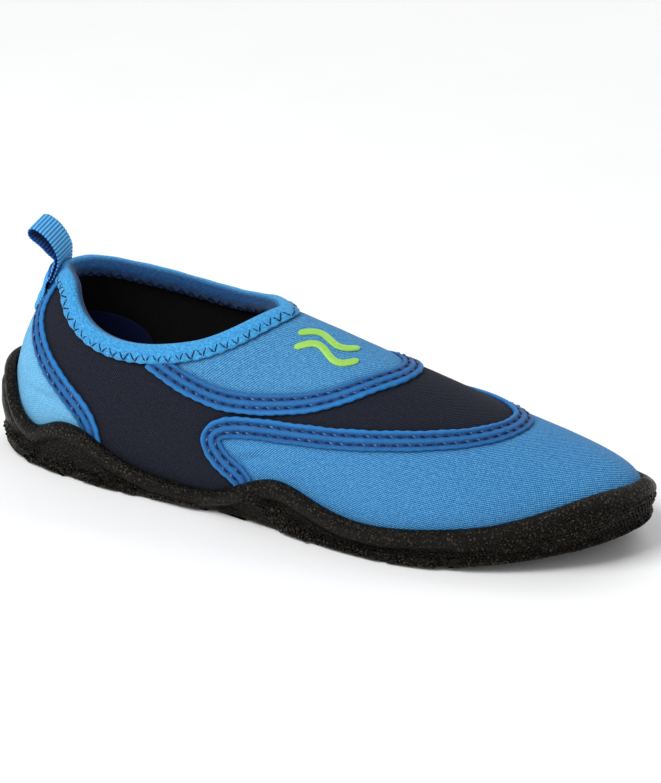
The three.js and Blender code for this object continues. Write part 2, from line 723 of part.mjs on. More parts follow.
function outsoleBase(rows) {
  const rings = [];
  for (let i = 0; i <= rows; i++) rings.push(soleRing(-1, i / rows));
  for (let i = rows - 1; i > 0; i--) rings.push(soleRing(1, i / rows));
  const count = rings[0].length;
  const points = rings.flat();
  const triangles = [];
  const total = rings.length;
  for (let i = 0; i < total; i++) {
    const a = i * count;
    const b = ((i + 1) % total) * count;
    for (let j = 0; j < count - 1; j++) {
      triangles.push([a + j, b + j, b + j + 1]);
      triangles.push([a + j, b + j + 1, a + j + 1]);
    }
  }
  // Close the underside and the floor with strips across the shoe.
  for (const [j, up] of [[0, false], [count - 1, true]]) {
    const at = (i) => (((i % total) + total) % total) * count + j;
    for (let i = 0; i < rows; i++) {
      const quad = [at(i), at(i + 1), at(-i - 1), at(-i)];
      const flat = quad.filter((p, k) => quad.indexOf(p) === k);
      for (let k = 1; k < flat.length - 1; k++) {
        const face = [flat[0], flat[k], flat[k + 1]];
        triangles.push(up ? face : face.reverse());
      }
    }
  }
  return geometryFrom(points, triangles);
}

// The tread layer: everything between the ground and the base, inside the sole's plan.
function treadLayer(rows) {
  const ring = (t) => {
    const pair = [-1, 1].map((side) => {
      const [x, y] = plan(t, side);
      const n = planNormal(t, side);
      return [x + n[0] * 5.6, y + n[1] * 5.6];
    });
    const [a, b] = pair;
    const low = (p) => new THREE.Vector3(p[0], p[1], ground(p[0]));
    const high = (p) => new THREE.Vector3(p[0], p[1], ground(p[0]) + BASE_LIFT + 1.4);
    return [low(a), low(b), high(b), high(a)];
  };
  const rings = [];
  for (let i = 0; i <= rows; i++) rings.push(ring(0.02 + (0.96 * i) / rows));
  return loft(rings, false);
}

// Slanted tread bars, outer and inner, meeting a narrow groove along the middle.
function treadBars() {
  let bars = null;
  const pitch = 15.5;
  const width = 11.5;
  for (let k = 0; k < 17; k++) {
    for (const side of [-1, 1]) {
      const x = -4 + pitch * k;
      const block = new THREE.BoxGeometry(width, 60, 30);
      block.translate(0, side * 31.2, 0);
      block.rotateZ(side * -0.32);
      block.translate(x + width / 2, centreY(x), 0);
      const solid = solidFrom(block);
      bars = bars ? bars.add(solid) : solid;
    }
  }
  return bars;
}

const tread = solidFrom(treadLayer(24)).intersect(treadBars());
const outsole = solidFrom(outsoleBase(ALONG)).add(tread);
add('outsole', geometryOf(outsole), RUBBER);

// ---------------------------------------------------------------- pull loop on the heel
// Heel line of the upper, outside, at a height z.
function heelAt(z, out) {
  let lo = 0.05;
  let hi = 0.8;
  for (let k = 0; k < 30; k++) {
    const v = (lo + hi) / 2;
    if (surface(0, v, -1).z < z) lo = v;
    else hi = v;
  }
  return raised(0, (lo + hi) / 2, -1, out);
}

// A flat ribbon following [x, z] points, closed by returning along a second list.
function ribbon(outerLine, innerLine) {
  const shape = new THREE.Shape(outerLine.concat(innerLine.slice().reverse())
    .map(([x, z]) => new THREE.Vector2(x, z)));
  const geometry = new THREE.ExtrudeGeometry(shape, {
    depth: RIBBON_WIDTH, bevelEnabled: false, steps: 1,
  });
  geometry.rotateX(Math.PI / 2);
  geometry.translate(0, RIBBON_WIDTH / 2, 0);
  return geometryOf(solidFrom(geometry));
}

function offsetLine(points, d) {
  return points.map((p, i) => {
    const a = points[Math.max(i - 1, 0)];
    const b = points[Math.min(i + 1, points.length - 1)];
    const l = Math.hypot(b[0] - a[0], b[1] - a[1]);
    return [p[0] - (d * (b[1] - a[1])) / l, p[1] + (d * (b[0] - a[0])) / l];
  });
}

// Sewn tail: down the back of the heel over the binding, then flat on the heel panel.
const tailRun = [];
for (let i = 0; i <= 8; i++) {
  const v = 0.63 - 0.03 * i;
  tailRun.push({ t: 0, v, side: -1, at: surface(0, v, -1) });
}
const tailLift = (i) => 2.4 + 0.9 * (1 - THREE.MathUtils.smoothstep(i, 2, 4.5));
const tailHalf = RIBBON_WIDTH / 2;
const tailSection = [-1, -0.5, 0, 0.5, 1].map((u) => [u * tailHalf, 0])
  .concat([1, 0.5, 0, -0.5, -1].map((u) => [u * tailHalf, RIBBON_THICK]));
add('loop_tail', band(tailRun, tailSection, false, tailLift), RIBBON);

// The loop itself: a flattened teardrop leaning back over its hinge line.
const hinge = heelAt(75, 3.4);
const FRONT_LEG = [[0.6, 0.4], [0.5, 3.2], [-1.6, 7.2], [-5, 10.6], [-8.6, 12.5]];
const BACK_LEG = [[-0.2, 0.4], [-2.6, 2.9], [-6, 5.6], [-9.2, 7.6], [-11.4, 8.9]];
function legLine(leg) {
  const curve = new THREE.CatmullRomCurve3(leg.map(([x, z]) => new THREE.Vector3(x, 0, z)));
  return curve.getPoints(9).map((p) => [hinge.x + p.x, hinge.z + p.z]);
}
function loopGeometry() {
  const front = legLine(FRONT_LEG);
  const back = legLine(BACK_LEG).reverse();
  const a = front[front.length - 1];
  const b = back[0];
  const fold = [];
  for (let i = 1; i < 6; i++) {
    const angle = (Math.PI * i) / 6;
    const mid = [(a[0] + b[0]) / 2, (a[1] + b[1]) / 2];
    const r = Math.hypot(a[0] - b[0], a[1] - b[1]) / 2;
    const start = Math.atan2(a[1] - mid[1], a[0] - mid[0]);
    fold.push([mid[0] + r * Math.cos(start + angle), mid[1] + r * Math.sin(start + angle)]);
  }
  const line = front.concat(fold, back);
  return ribbon(offsetLine(line, RIBBON_THICK / 2), offsetLine(line, -RIBBON_THICK / 2));
}
add('pull_loop', loopGeometry(), RIBBON);

// Bar tack: a dense row of thread across the ribbon just below the rim.
const tack = heelAt(70.7, 0);
const tackOut = heelAt(70.7, 1);
const lean = Math.atan2(tackOut.z - tack.z, tack.x - tackOut.x);
const bar = new THREE.BoxGeometry(0.7, RIBBON_WIDTH - 3, 2.2);
const barMesh = add('loop_bartack', bar, THREAD_NAVY);
const barAt = heelAt(70.7, 3.4 + RIBBON_THICK + 0.4);
barMesh.position.copy(barAt);
barMesh.rotation.y = lean;

export default part;
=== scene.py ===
import json
import math

import bpy
import numpy as np
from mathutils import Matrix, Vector


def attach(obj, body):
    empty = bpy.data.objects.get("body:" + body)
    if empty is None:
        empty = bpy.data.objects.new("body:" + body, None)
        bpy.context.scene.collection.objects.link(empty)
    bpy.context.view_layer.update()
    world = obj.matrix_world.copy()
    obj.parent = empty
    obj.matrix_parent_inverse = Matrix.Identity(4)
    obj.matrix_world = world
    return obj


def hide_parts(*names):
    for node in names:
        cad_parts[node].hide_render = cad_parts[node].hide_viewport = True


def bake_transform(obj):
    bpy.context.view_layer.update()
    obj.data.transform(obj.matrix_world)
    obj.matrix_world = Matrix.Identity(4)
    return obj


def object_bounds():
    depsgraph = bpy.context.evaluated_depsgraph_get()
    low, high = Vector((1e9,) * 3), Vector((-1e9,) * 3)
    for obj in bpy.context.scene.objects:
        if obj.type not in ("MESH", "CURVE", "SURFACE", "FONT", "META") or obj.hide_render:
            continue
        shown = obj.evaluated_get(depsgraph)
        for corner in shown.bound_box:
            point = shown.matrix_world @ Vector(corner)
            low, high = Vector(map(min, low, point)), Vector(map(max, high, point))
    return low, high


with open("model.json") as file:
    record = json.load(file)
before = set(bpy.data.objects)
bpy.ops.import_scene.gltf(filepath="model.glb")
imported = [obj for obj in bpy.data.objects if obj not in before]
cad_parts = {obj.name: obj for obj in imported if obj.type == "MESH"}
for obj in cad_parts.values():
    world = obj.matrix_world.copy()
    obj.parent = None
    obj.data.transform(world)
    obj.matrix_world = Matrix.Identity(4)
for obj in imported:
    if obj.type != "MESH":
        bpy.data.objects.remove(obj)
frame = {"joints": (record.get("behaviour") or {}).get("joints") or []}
cad_box = [list(corner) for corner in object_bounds()]

# Neoprene water shoe, right foot. The shape is worked out in millimetres with the heel at x = 0,
# +X to the toe, +Y to the inner side of the foot, and put into the row frame in metres by piece().
# t runs along the upper from heel (0) to toe (1), v from the sole edge (0) to the ridge (1);
# side is -1 on the outer side of the foot and +1 on the inner side.
HEEL_X, TOE_X = 0.8, 253.5
RIDGE_HEEL_X, RIDGE_TOE_X = 46, 228
CENTRE = np.array([126.6, -1.06, 0.0])

PANEL, LINING, GAP = 2.4, 0.8, 0.3
TAPE_WIDTH = 8.2
T_SPAN, V_SPAN = 250, 110        # about how many millimetres t and v run over
ROWS = (-1.9, 1.4)               # stitch rows across a tape, from its middle towards the navy side
STITCH_PITCH, STITCH_LENGTH = 4.3, 3.3
BASE_LIFT = 2.2
RIBBON_WIDTH, RIBBON_THICK, RIB_PITCH = 17.5, 0.9, 1.4
STITCH_POINTS, STRAND_SIDES = 9, 6
RIM_STEP = 0.9                   # between the places that the collar binding is swept through
ARCH_X, BALL_X = 106, 118        # the middle of the arch, and of the sole's hollow side
rng = np.random.default_rng(7)


# ---------------------------------------------------------------- curves
def spline(points, natural=False):
    """Cubic spline through [x, y] points; slopes at the ends are zero, or free when natural."""
    x, y = np.array(points, float).T
    n = len(x)
    h = np.diff(x)
    m = np.zeros((n, n))
    r = np.zeros(n)
    m[0, 0] = m[-1, -1] = 1
    if natural:
        m[0, :2] = [2 / h[0], 1 / h[0]]
        r[0] = 3 * (y[1] - y[0]) / h[0] ** 2
        m[-1, -2:] = [1 / h[-1], 2 / h[-1]]
        r[-1] = 3 * (y[-1] - y[-2]) / h[-1] ** 2
    for i in range(1, n - 1):
        a, b = h[i - 1], h[i]
        m[i, i - 1 : i + 2] = [1 / a, 2 / a + 2 / b, 1 / b]
        r[i] = 3 * ((y[i] - y[i - 1]) / a**2 + (y[i + 1] - y[i]) / b**2)
    slope = np.linalg.solve(m, r)

    def at(q):
        q = np.clip(q, x[0], x[-1])
        i = np.clip(np.searchsorted(x, q) - 1, 0, n - 2)
        u = (q - x[i]) / h[i]
        w = 1 - u
        return (y[i] * (1 + 2 * u) * w * w + slope[i] * h[i] * u * w * w
                + y[i + 1] * u * u * (3 - 2 * u) + slope[i + 1] * h[i] * u * u * (u - 1))
    return at


def smooth(low, high, q):
    """0 below low, 1 above high, and smooth between them."""
    u = np.clip((q - low) / (high - low), 0, 1)
    return u * u * (3 - 2 * u)


def lengths(points):
    """How far along a row of points each one is."""
    return np.r_[0, np.cumsum(np.linalg.norm(np.diff(points, axis=0), axis=1))]


def hump(q, middle, half):
    """1 at middle, falling smoothly to 0 at half on either side."""
    return np.cos(np.clip((q - middle) / half, -1, 1) * np.pi / 2) ** 2


# ---------------------------------------------------------------- the foot shape
half_width = {
    -1: spline([[0, 56], [0.15, 47], [0.3, 39], [0.42, 37], [0.52, 42], [0.62, 49], [0.72, 52],
                [0.82, 52], [0.92, 51], [1, 50]]),
    1: spline([[0, 56], [0.15, 46], [0.3, 36], [0.42, 31], [0.52, 33], [0.62, 42], [0.72, 50],
               [0.82, 54], [0.92, 54], [1, 50]]),
}
centre_y = spline([[0, 0], [130, 0], [200, 3], [255, 9]])
feather_z = spline([[0, 9], [60, 8], [130, 7], [190, 7], [225, 10], [260, 16]])
wall_reach = spline([[0, 30], [0.3, 26], [0.5, 20], [0.7, 14], [1, 10]])
wall_lean = spline([[0, 21], [0.2, 12], [0.3, 9], [0.6, 14], [1, 20]])
dome_reach = {
    -1: spline([[0, 25], [0.12, 22], [0.25, 21], [0.45, 17], [0.6, 26], [0.8, 30], [1, 22]]),
    1: spline([[0, 25], [0.15, 29], [0.3, 31], [0.45, 22], [0.6, 26], [0.8, 30], [1, 22]]),
}
ridge_z = spline([[46, 89.6], [80, 82], [105, 74.2], [118, 70.2], [130, 67.5], [150, 61.8],
                  [165, 57], [185, 50.6], [205, 44.4], [228, 37.6]], True)
TOE_SEAM = [[0.462, -0.02], [0.461, 0.06], [0.457, 0.13], [0.438, 0.175], [0.42, 0.225],
            [0.412, 0.272], [0.417, 0.31], [0.432, 0.343], [0.461, 0.375], [0.5, 0.413],
            [0.536, 0.457], [0.577, 0.522], [0.63, 0.622], [0.688, 0.752], [0.735, 0.88],
            [0.763, 0.958], [0.778, 1]]
INSTEP_SEAM = {
    -1: [[0.25, 0.548], [0.29, 0.495], [0.334, 0.453], [0.376, 0.429], [0.409, 0.43],
         [0.444, 0.462], [0.478, 0.513], [0.507, 0.58], [0.536, 0.69], [0.565, 0.83],
         [0.583, 0.93], [0.591, 1]],
    1: [[0.24, 0.74], [0.28, 0.645], [0.32, 0.567], [0.36, 0.517], [0.4, 0.497], [0.44, 0.504],
        [0.477, 0.53], [0.507, 0.588], [0.536, 0.69], [0.565, 0.83], [0.583, 0.93], [0.591, 1]],
}
HEEL_SEAM = [[0.272, -0.02], [0.272, 0.1], [0.264, 0.152], [0.244, 0.205], [0.205, 0.262],
             [0.155, 0.325], [0.11, 0.385], [0.076, 0.44], [0.051, 0.51], [0.043, 0.58],
             [0.042, 0.7]]
COLLAR = {
    -1: [[0, 0.632], [0.045, 0.632], [0.08, 0.626], [0.107, 0.61], [0.13, 0.58], [0.16, 0.541],
         [0.197, 0.505], [0.232, 0.486], [0.267, 0.486], [0.3, 0.508], [0.327, 0.545],
         [0.352, 0.597], [0.371, 0.666], [0.387, 0.765], [0.398, 0.88], [0.404, 1]],
    1: [[0, 0.632], [0.045, 0.636], [0.09, 0.643], [0.147, 0.645], [0.21, 0.64], [0.27, 0.645],
        [0.32, 0.662], [0.355, 0.702], [0.38, 0.78], [0.396, 0.885], [0.404, 1]],
}
RIM = {
    -1: spline([[0, 0.25], [0.05, 0.238], [0.085, 0.2], [0.115, 0.135], [0.15, 0.088],
                [0.178, 0.082], [0.207, 0.12], [0.24, 0.14], [0.268, 0.125], [0.3, 0.08],
                [0.345, 0.03], [0.385, 0.014], [0.415, 0.018], [0.44, 0.055], [0.465, 0.13],
                [0.495, 0.188], [0.533, 0.161], [0.58, 0.112], [0.62, 0.118], [0.66, 0.15],
                [0.73, 0.225], [0.8, 0.345], [0.86, 0.42], [0.93, 0.435], [1, 0.42]]),
    1: spline([[0, 0.25], [0.05, 0.238], [0.09, 0.2], [0.13, 0.13], [0.17, 0.1], [0.22, 0.13],
               [0.26, 0.13], [0.31, 0.08], [0.36, 0.045], [0.41, 0.045], [0.455, 0.11],
               [0.49, 0.17], [0.53, 0.16], [0.58, 0.12], [0.64, 0.14], [0.7, 0.16],
               [0.78, 0.15], [0.86, 0.16], [0.91, 0.21], [0.95, 0.3], [1, 0.42]]),
}


def ground(x):
    """Height of the tread: flat under heel and ball, lifted at heel edge and toe."""
    return np.where(x < 14, 3 * ((14 - x) / 14) ** 2,
                    np.where(x > 180, 11 * (np.maximum(x - 180, 0) / 75) ** 1.6, 0.0))


def along(t):
    return (1 - np.cos(np.pi * t)) / 2


def by_side(table, side, t):
    return np.where(side < 0, table[-1](t), table[1](t))


def wrapped(t, side):
    """Past heel or toe, t comes back along the other side."""
    return (np.where(t < 0, -t, np.where(t > 1, 2 - t, t)),
            np.where((t < 0) | (t > 1), -side, side))


def plan(t, side):
    """The sole edge of the upper in plan."""
    t, side = wrapped(t, side)
    x = HEEL_X + (TOE_X - HEEL_X) * along(t)
    return x, centre_y(x) + side * np.sin(np.pi * t) * by_side(half_width, side, t)


def plan_normal(t, side):
    ax, ay = plan(t - 1e-4, side)
    bx, by = plan(t + 1e-4, side)
    length = np.hypot(bx - ax, by - ay)
    return -side * (by - ay) / length, side * (bx - ax) / length


def stack(x, y, z):
    return np.stack(np.broadcast_arrays(x, y, z), -1)


def places(t, v, side):
    """The three as arrays of one shape; a side of 0 counts as the outer one."""
    return np.broadcast_arrays(np.asarray(t, float), np.asarray(v, float),
                               np.where(np.asarray(side) > 0, 1, -1))


def ridge_x(t):
    return RIDGE_HEEL_X + (RIDGE_TOE_X - RIDGE_HEEL_X) * along(t)


def ridge_grade(x):
    q = np.clip(x, RIDGE_HEEL_X + 0.5, RIDGE_TOE_X - 0.5)
    return ridge_z(q + 0.5) - ridge_z(q - 0.5)


def surface(t, v, side):
    """Points of the upper's outer face."""
    t, v, side = places(t, v, side)
    x, y = plan(t, side)
    nx, ny = plan_normal(t, side)
    lean = np.radians(wall_lean(t))
    foot = stack(x, y, feather_z(x))
    leaning = stack(nx * np.sin(lean), ny * np.sin(lean), np.cos(lean))
    wall = foot + leaning * wall_reach(t)[..., None]
    rx = ridge_x(t)
    top = stack(rx, centre_y(rx), ridge_z(rx))
    grade = ridge_grade(rx)
    dx = -np.cos(np.pi * t)
    dome = top + stack(dx, side * np.sin(np.pi * t), grade * dx) * by_side(
        dome_reach, side, t)[..., None]
    v = v[..., None]
    w = 1 - v
    return foot * w**3 + wall * 3 * v * w * w + dome * 3 * v * v * w + top * v**3


def surface_round(t, v, side):
    t, side = wrapped(t, side)
    return surface(t, v, side)


def unit(a):
    return a / np.maximum(np.linalg.norm(a, axis=-1, keepdims=True), 1e-12)


def slopes(t, v, side):
    """The surface's two tangents and its outward normal."""
    t, v, side = places(t, v, side)
    e = 1e-3
    low, high = np.maximum(v - e, 0), np.minimum(v + e, 1)
    dt = (surface_round(t + e, v, side) - surface_round(t - e, v, side)) / (2 * e)
    dv = (surface(t, high, side) - surface(t, low, side)) / (high - low)[..., None]
    normal = unit(np.cross(dt, dv) * -side[..., None])
    rx = ridge_x(t)
    ridge = unit(stack(-ridge_grade(rx), 0, 1))
    return dt, dv, np.where((v > 0.997)[..., None], ridge, normal)


def raised(t, v, side, height):
    return surface(t, v, side) + slopes(t, v, side)[2] * np.asarray(height, float)[..., None]


class Run:
    """A row of places on the upper: t, v, side and the point in space of each."""

    def __init__(self, t, v, side):
        self.t, self.v = np.asarray(t, float), np.asarray(v, float)
        self.side = np.broadcast_to(np.where(np.asarray(side) > 0, 1, -1), self.t.shape)
        self.at = surface(self.t, self.v, self.side)

    def __getitem__(self, k):
        return Run(self.t[k], self.v[k], self.side[k])

    def __len__(self):
        return len(self.t)

    def lengths(self):
        return lengths(self.at)


def join(*runs):
    return Run(*(np.concatenate([getattr(r, k) for r in runs]) for k in ("t", "v", "side")))


def nearest(q, guess, rounds=7):
    """The places of the upper nearest to the points q, starting from nearby places."""
    t, v, side = guess.t.copy(), guess.v.copy(), guess.side.copy()
    for _ in range(rounds):
        dt, dv = slopes(t, v, side)[:2]
        r = q - surface(t, v, side)
        a, b, d = (dt * dt).sum(-1), (dt * dv).sum(-1), (dv * dv).sum(-1)
        e, f = (r * dt).sum(-1), (r * dv).sum(-1)
        det = np.maximum(a * d - b * b, 1e-9)
        t = t + np.clip((e * d - f * b) / det, -0.05, 0.05)
        v = v + np.clip((f * a - e * b) / det, -0.08, 0.08)
        side = np.where(v > 1, -side, side)
        v = np.where(v > 1, 2 - v, v)
        t, side = wrapped(t, side)
        v = np.maximum(v, 0)
    return Run(t, v, side)


def resample(run, step, loop=False):
    if loop:
        run = join(run, run[:1])
    s = run.lengths()
    count = max(2, round(s[-1] / step))
    goal = np.linspace(0, s[-1], count + 1)
    q = np.stack([np.interp(goal, s, run.at[:, k]) for k in range(3)], -1)
    k = np.clip(np.searchsorted(s, goal) - 1, 0, len(s) - 2)
    k = k + (goal - s[k] > (s[k + 1] - s[k]) / 2)
    out = nearest(q, run[k])
    return out[:-1] if loop else out


def line_on(points, side):
    """A line of [t, v] points on one side, evenly spaced."""
    p = np.array(points, float)
    s = lengths(p * (T_SPAN, V_SPAN))
    q = np.linspace(0, s[-1], 300)
    t, v = (spline(np.c_[s, column], True)(q) for column in p.T)
    return resample(Run(np.abs(t), np.clip(v, 0, 1), side), 2.0)


lines = {name: {side: line_on(points[side] if isinstance(points, dict) else points, side)
                for side in (-1, 1)}
         for name, points in (("toe", TOE_SEAM), ("instep", INSTEP_SEAM), ("heel", HEEL_SEAM),
                              ("collar", COLLAR))}


def from_segments(points, line):
    """Of each segment of a line: where along it is nearest, from 0 to 1, and how far away."""
    start, d = line[:-1], np.diff(line, axis=0)
    r = points[..., None, :] - start
    u = np.clip((r * d).sum(-1) / (d * d).sum(-1), 0, 1)
    return u, np.linalg.norm(r - u[..., None] * d, axis=-1)


def distance(line, t, v, side):
    """Signed distance of places from a line, positive on its left, and how far along they are."""
    gap, where = np.empty(len(t)), np.empty(len(t))
    for s in (-1, 1):
        own = np.flatnonzero((side > 0) == (s > 0))
        run = line[s]
        flat = np.c_[run.t * T_SPAN, run.v * V_SPAN]
        length = run.lengths()
        for k in np.array_split(own, max(1, len(own) // 4000)):
            p = np.c_[t[k] * T_SPAN, v[k] * V_SPAN]
            near = from_segments(p, flat)[1].argmin(1)
            d, r = flat[near + 1] - flat[near], p - flat[near]
            turn = d[:, 0] * r[:, 1] - d[:, 1] * r[:, 0]
            u, away = from_segments(surface(t[k], v[k], side[k]), run.at)
            rows, best = np.arange(len(k)), away.argmin(1)
            gap[k] = np.where(turn >= 0, 1, -1) * away[rows, best]
            where[k] = length[best] + u[rows, best] * np.diff(length)[best]
    return gap, where


def cloth(t, v, side):
    """The upper unrolled flat in millimetres: out from the ridge along each line of constant t."""
    q = 1 - (1 - np.asarray(v, float))[..., None] * np.linspace(0, 1, 17)
    path = surface(np.asarray(t)[..., None], q, np.asarray(side)[..., None])
    r = np.linalg.norm(np.diff(path, axis=-2), axis=-1).sum(-1)
    rx = ridge_x(t)
    s = np.where(np.asarray(side) > 0, 1, -1)
    return stack(rx - r * np.cos(np.pi * t), s * r * np.sin(np.pi * t), 0)


# ---------------------------------------------------------------- materials
class Nodes:
    """A small builder of node materials around one Principled shader."""

    def __init__(self, name, **sockets):
        self.material = bpy.data.materials.new(name)
        self.material.use_nodes = True
        self.tree = self.material.node_tree
        self.shader = self.tree.nodes["Principled BSDF"]
        for socket, value in sockets.items():
            self.shader.inputs[socket.replace("_", " ")].default_value = value

    def node(self, kind, **values):
        n = self.tree.nodes.new("ShaderNode" + kind)
        for key, value in values.items():
            if hasattr(n, key):
                setattr(n, key, value)
            else:
                self.put(n.inputs[key.replace("_", " ")], value)
        return n

    def put(self, socket, value):
        if isinstance(value, bpy.types.NodeSocket):
            self.tree.links.new(value, socket)
        else:
            socket.default_value = value

    def math(self, operation, a, b=0.0, clamp=False):
        n = self.node("Math", operation=operation, use_clamp=clamp)
        self.put(n.inputs[0], a)
        self.put(n.inputs[1], b)
        return n.outputs[0]

    def times(self, a, b, clamp=False):
        return self.math("MULTIPLY", a, b, clamp)

    def plus(self, a, b, clamp=False):
        return self.math("ADD", a, b, clamp)

    def minus(self, a, b, clamp=False):
        return self.math("SUBTRACT", a, b, clamp)

    def mapped(self, vector, scale=(1, 1, 1), angle=0.0):
        n = self.node("Mapping", Vector=vector)
        n.inputs["Rotation"].default_value = (0, 0, math.radians(angle))
        n.inputs["Scale"].default_value = scale
        return n.outputs[0]

    def attribute(self, name, output="Vector"):
        return self.node("Attribute", attribute_name=name).outputs[output]

    def place(self):
        """The point of the surface in millimetres."""
        coordinates = self.node("TexCoord").outputs["Object"]
        return self.mapped(coordinates, (1000, 1000, 1000))

    def noise(self, vector, scale, detail=3.0, roughness=0.5):
        return self.node("TexNoise", Vector=vector, Scale=scale, Detail=detail,
                         Roughness=roughness).outputs["Fac"]

    def cells(self, vector, scale):
        return self.node("TexVoronoi", Vector=vector, Scale=scale).outputs["Distance"]

    def bands(self, vector, pitch, angle=0.0, wander=0.0):
        """Waves of that pitch across a direction, from 0 to 1."""
        turned = self.mapped(vector, (1, 1, 1), angle)
        return self.node("TexWave", Vector=turned, Scale=0.314159 / pitch, Distortion=wander,
                         Detail=2.0, Detail_Scale=1.5).outputs["Fac"]

    def ramp(self, fac, stops):
        n = self.node("ValToRGB", Fac=fac)
        ramp = n.color_ramp
        while len(ramp.elements) < len(stops):
            ramp.elements.new(0.5)
        for element, (place, colour) in zip(ramp.elements, stops):
            element.position = place
            element.color = (*colour, 1)
        return n.outputs["Color"]

    def mix(self, fac, a, b, blend="MIX"):
        n = self.node("Mix", data_type="RGBA", blend_type=blend)
        for socket, value in zip((n.inputs[0], n.inputs[6], n.inputs[7]), (fac, a, b)):
            self.put(socket, (*value, 1) if isinstance(value, tuple) and len(value) == 3 else value)
        return n.outputs[2]

    def span(self, value, low, high):
        """A 0..1 value stretched to low..high."""
        n = self.node("MapRange", Value=value)
        n.inputs["To Min"].default_value = low
        n.inputs["To Max"].default_value = high
        return n.outputs["Result"]

    def bump(self, height, depth, strength=1.0, before=None):
        """depth is how far, in millimetres, a height of 1 stands out."""
        n = self.node("Bump", Height=height, Distance=depth / 1000, Strength=strength)
        if before is not None:
            self.put(n.inputs["Normal"], before)
        return n.outputs["Normal"]

    def finish(self, colour=None, roughness=None, normal=None):
        for socket, value in (("Base Color", colour), ("Roughness", roughness), ("Normal", normal)):
            if value is not None:
                self.put(self.shader.inputs[socket], value)
        return self.material


def rgb(code, gain=1.0):
    """Linear colour of a hex code."""
    parts = [int(code[i : i + 2], 16) / 255 for i in (1, 3, 5)]
    return tuple(gain * (c / 12.92 if c <= 0.04045 else ((c + 0.055) / 1.055) ** 2.4)
                 for c in parts)


COURSE_PITCH, COURSE_ANGLE = 0.8, 45


def knit(name, deep, light, sheen=0.12, tint="#9fc4e8", mottle=0.75):
    """Jersey laminated on neoprene: fine slanting courses crossed by the stitches."""
    m = Nodes(name, Roughness=0.82, Sheen_Weight=sheen, Sheen_Roughness=0.45,
              Sheen_Tint=(*rgb(tint), 1), Specular_IOR_Level=0.18)
    flat = m.attribute("cloth")
    courses = m.bands(flat, COURSE_PITCH, COURSE_ANGLE, 0.5)
    wales = m.bands(flat, COURSE_PITCH * 0.9, COURSE_ANGLE + 72, 0.8)
    knots = m.times(courses, m.span(wales, 0.45, 1.0))
    cloudy = m.noise(m.place(), 0.035, 4.0)
    fuzz = m.noise(m.place(), 1.7, 4.0, 0.7)
    fleck = m.noise(flat, 0.9, 2.0, 0.6)
    shade = m.plus(knots, m.span(fuzz, -mottle, mottle))
    shade = m.plus(shade, m.span(fleck, -0.35, 0.35), True)
    colour = m.mix(shade, rgb(deep), rgb(light))
    worn = m.mix(1.0, colour, (0.78, 0.82, 0.88), "MULTIPLY")
    colour = m.mix(m.span(cloudy, 0.0, 0.5), colour, worn)
    # Painted shade: the cloth is darker and plainer where a tape or the collar binding meets it.
    seam_shade = m.attribute("seam", "Fac")
    colour = m.mix(m.times(seam_shade, 0.5), colour, rgb(deep, 0.5))
    normal = m.bump(knots, 0.2, 0.8)
    normal = m.bump(fuzz, 0.14, 0.5, normal)
    return m.finish(colour, m.span(fuzz, 0.72, 0.95), normal)


def soft_knit(name, deep, light, sheen=0.15, depth=0.25, shadow=None):
    """A close brushed knit: small loops in rows with a soft nap, with painted shade where it turns
    inside.
    """
    m = Nodes(name, Roughness=0.9, Sheen_Weight=sheen, Sheen_Roughness=0.5,
              Specular_IOR_Level=0.15)
    flat = m.attribute("cloth")
    loops = m.cells(m.mapped(flat, (1, 0.8, 1)), 1.8)
    heather = m.noise(m.mapped(flat, (1, 1.6, 1), 20), 0.75, 3.0, 0.65)
    nap = m.noise(m.place(), 2.4, 4.0, 0.75)
    patchy = m.noise(m.place(), 0.08, 3.0)
    height = m.minus(m.times(nap, 1.6), loops)
    shade = m.plus(m.span(nap, -1.0, 1.3), m.span(heather, -0.9, 1.2), True)
    colour = m.mix(shade, rgb(deep), rgb(light))
    colour = m.mix(m.span(patchy, 0.0, 0.35), colour, rgb(deep))
    # Painted shade: where crown marks the turned-in part, the colour runs to the shadow colour.
    if shadow is not None:
        inside = m.mix(shade, rgb(shadow, 0.7), rgb(deep, 0.36))
        colour = m.mix(m.attribute("crown", "Fac"), colour, inside)
    return m.finish(colour, m.span(nap, 0.8, 1.0), m.bump(height, depth, 0.7))


def folded_tape(name, deep, light):
    """Smooth stretch tape: fine ribs across it, with a painted highlight where it is rounded up."""
    m = Nodes(name, Roughness=0.55, Sheen_Weight=0.1, Sheen_Roughness=0.4,
              Specular_IOR_Level=0.25)
    flat = m.attribute("cloth")
    ribs = m.bands(flat, 0.6, 0, 0.5)
    nap = m.noise(m.place(), 2.0, 3.0, 0.7)
    long_wave = m.noise(m.mapped(flat, (0.25, 0.05, 1)), 1.0, 2.0)
    crown = m.attribute("crown", "Fac")
    # Painted light: crown lightens the rounded folds and leaves the sewn grooves dark as painted
    # shade.
    shade = m.plus(m.times(crown, 0.8), m.span(nap, -0.4, 0.4), True)
    colour = m.mix(shade, rgb(deep), rgb(light))
    colour = m.mix(m.span(long_wave, 0, 0.4), colour, rgb(deep))
    normal = m.bump(ribs, 0.09, 0.7)
    normal = m.bump(nap, 0.1, 0.5, normal)
    return m.finish(colour, m.span(nap, 0.5, 0.75), normal)


def thread(name, deep, light):
    """Twisted filament yarn, paler where crown marks that a ply catches the light."""
    m = Nodes(name, Roughness=0.3, Specular_IOR_Level=0.45, Specular_Tint=(0.35, 0.6, 1.0, 1))
    fibres = m.noise(m.place(), 4.0, 2.0)
    colour = m.mix(m.span(fibres, -0.5, 1.0), rgb(deep), rgb(light))
    colour = m.mix(m.times(m.attribute("crown", "Fac"), 0.75), colour, rgb("#7fa9e0"))
    return m.finish(colour, m.span(fibres, 0.2, 0.45), m.bump(fibres, 0.06, 0.5))


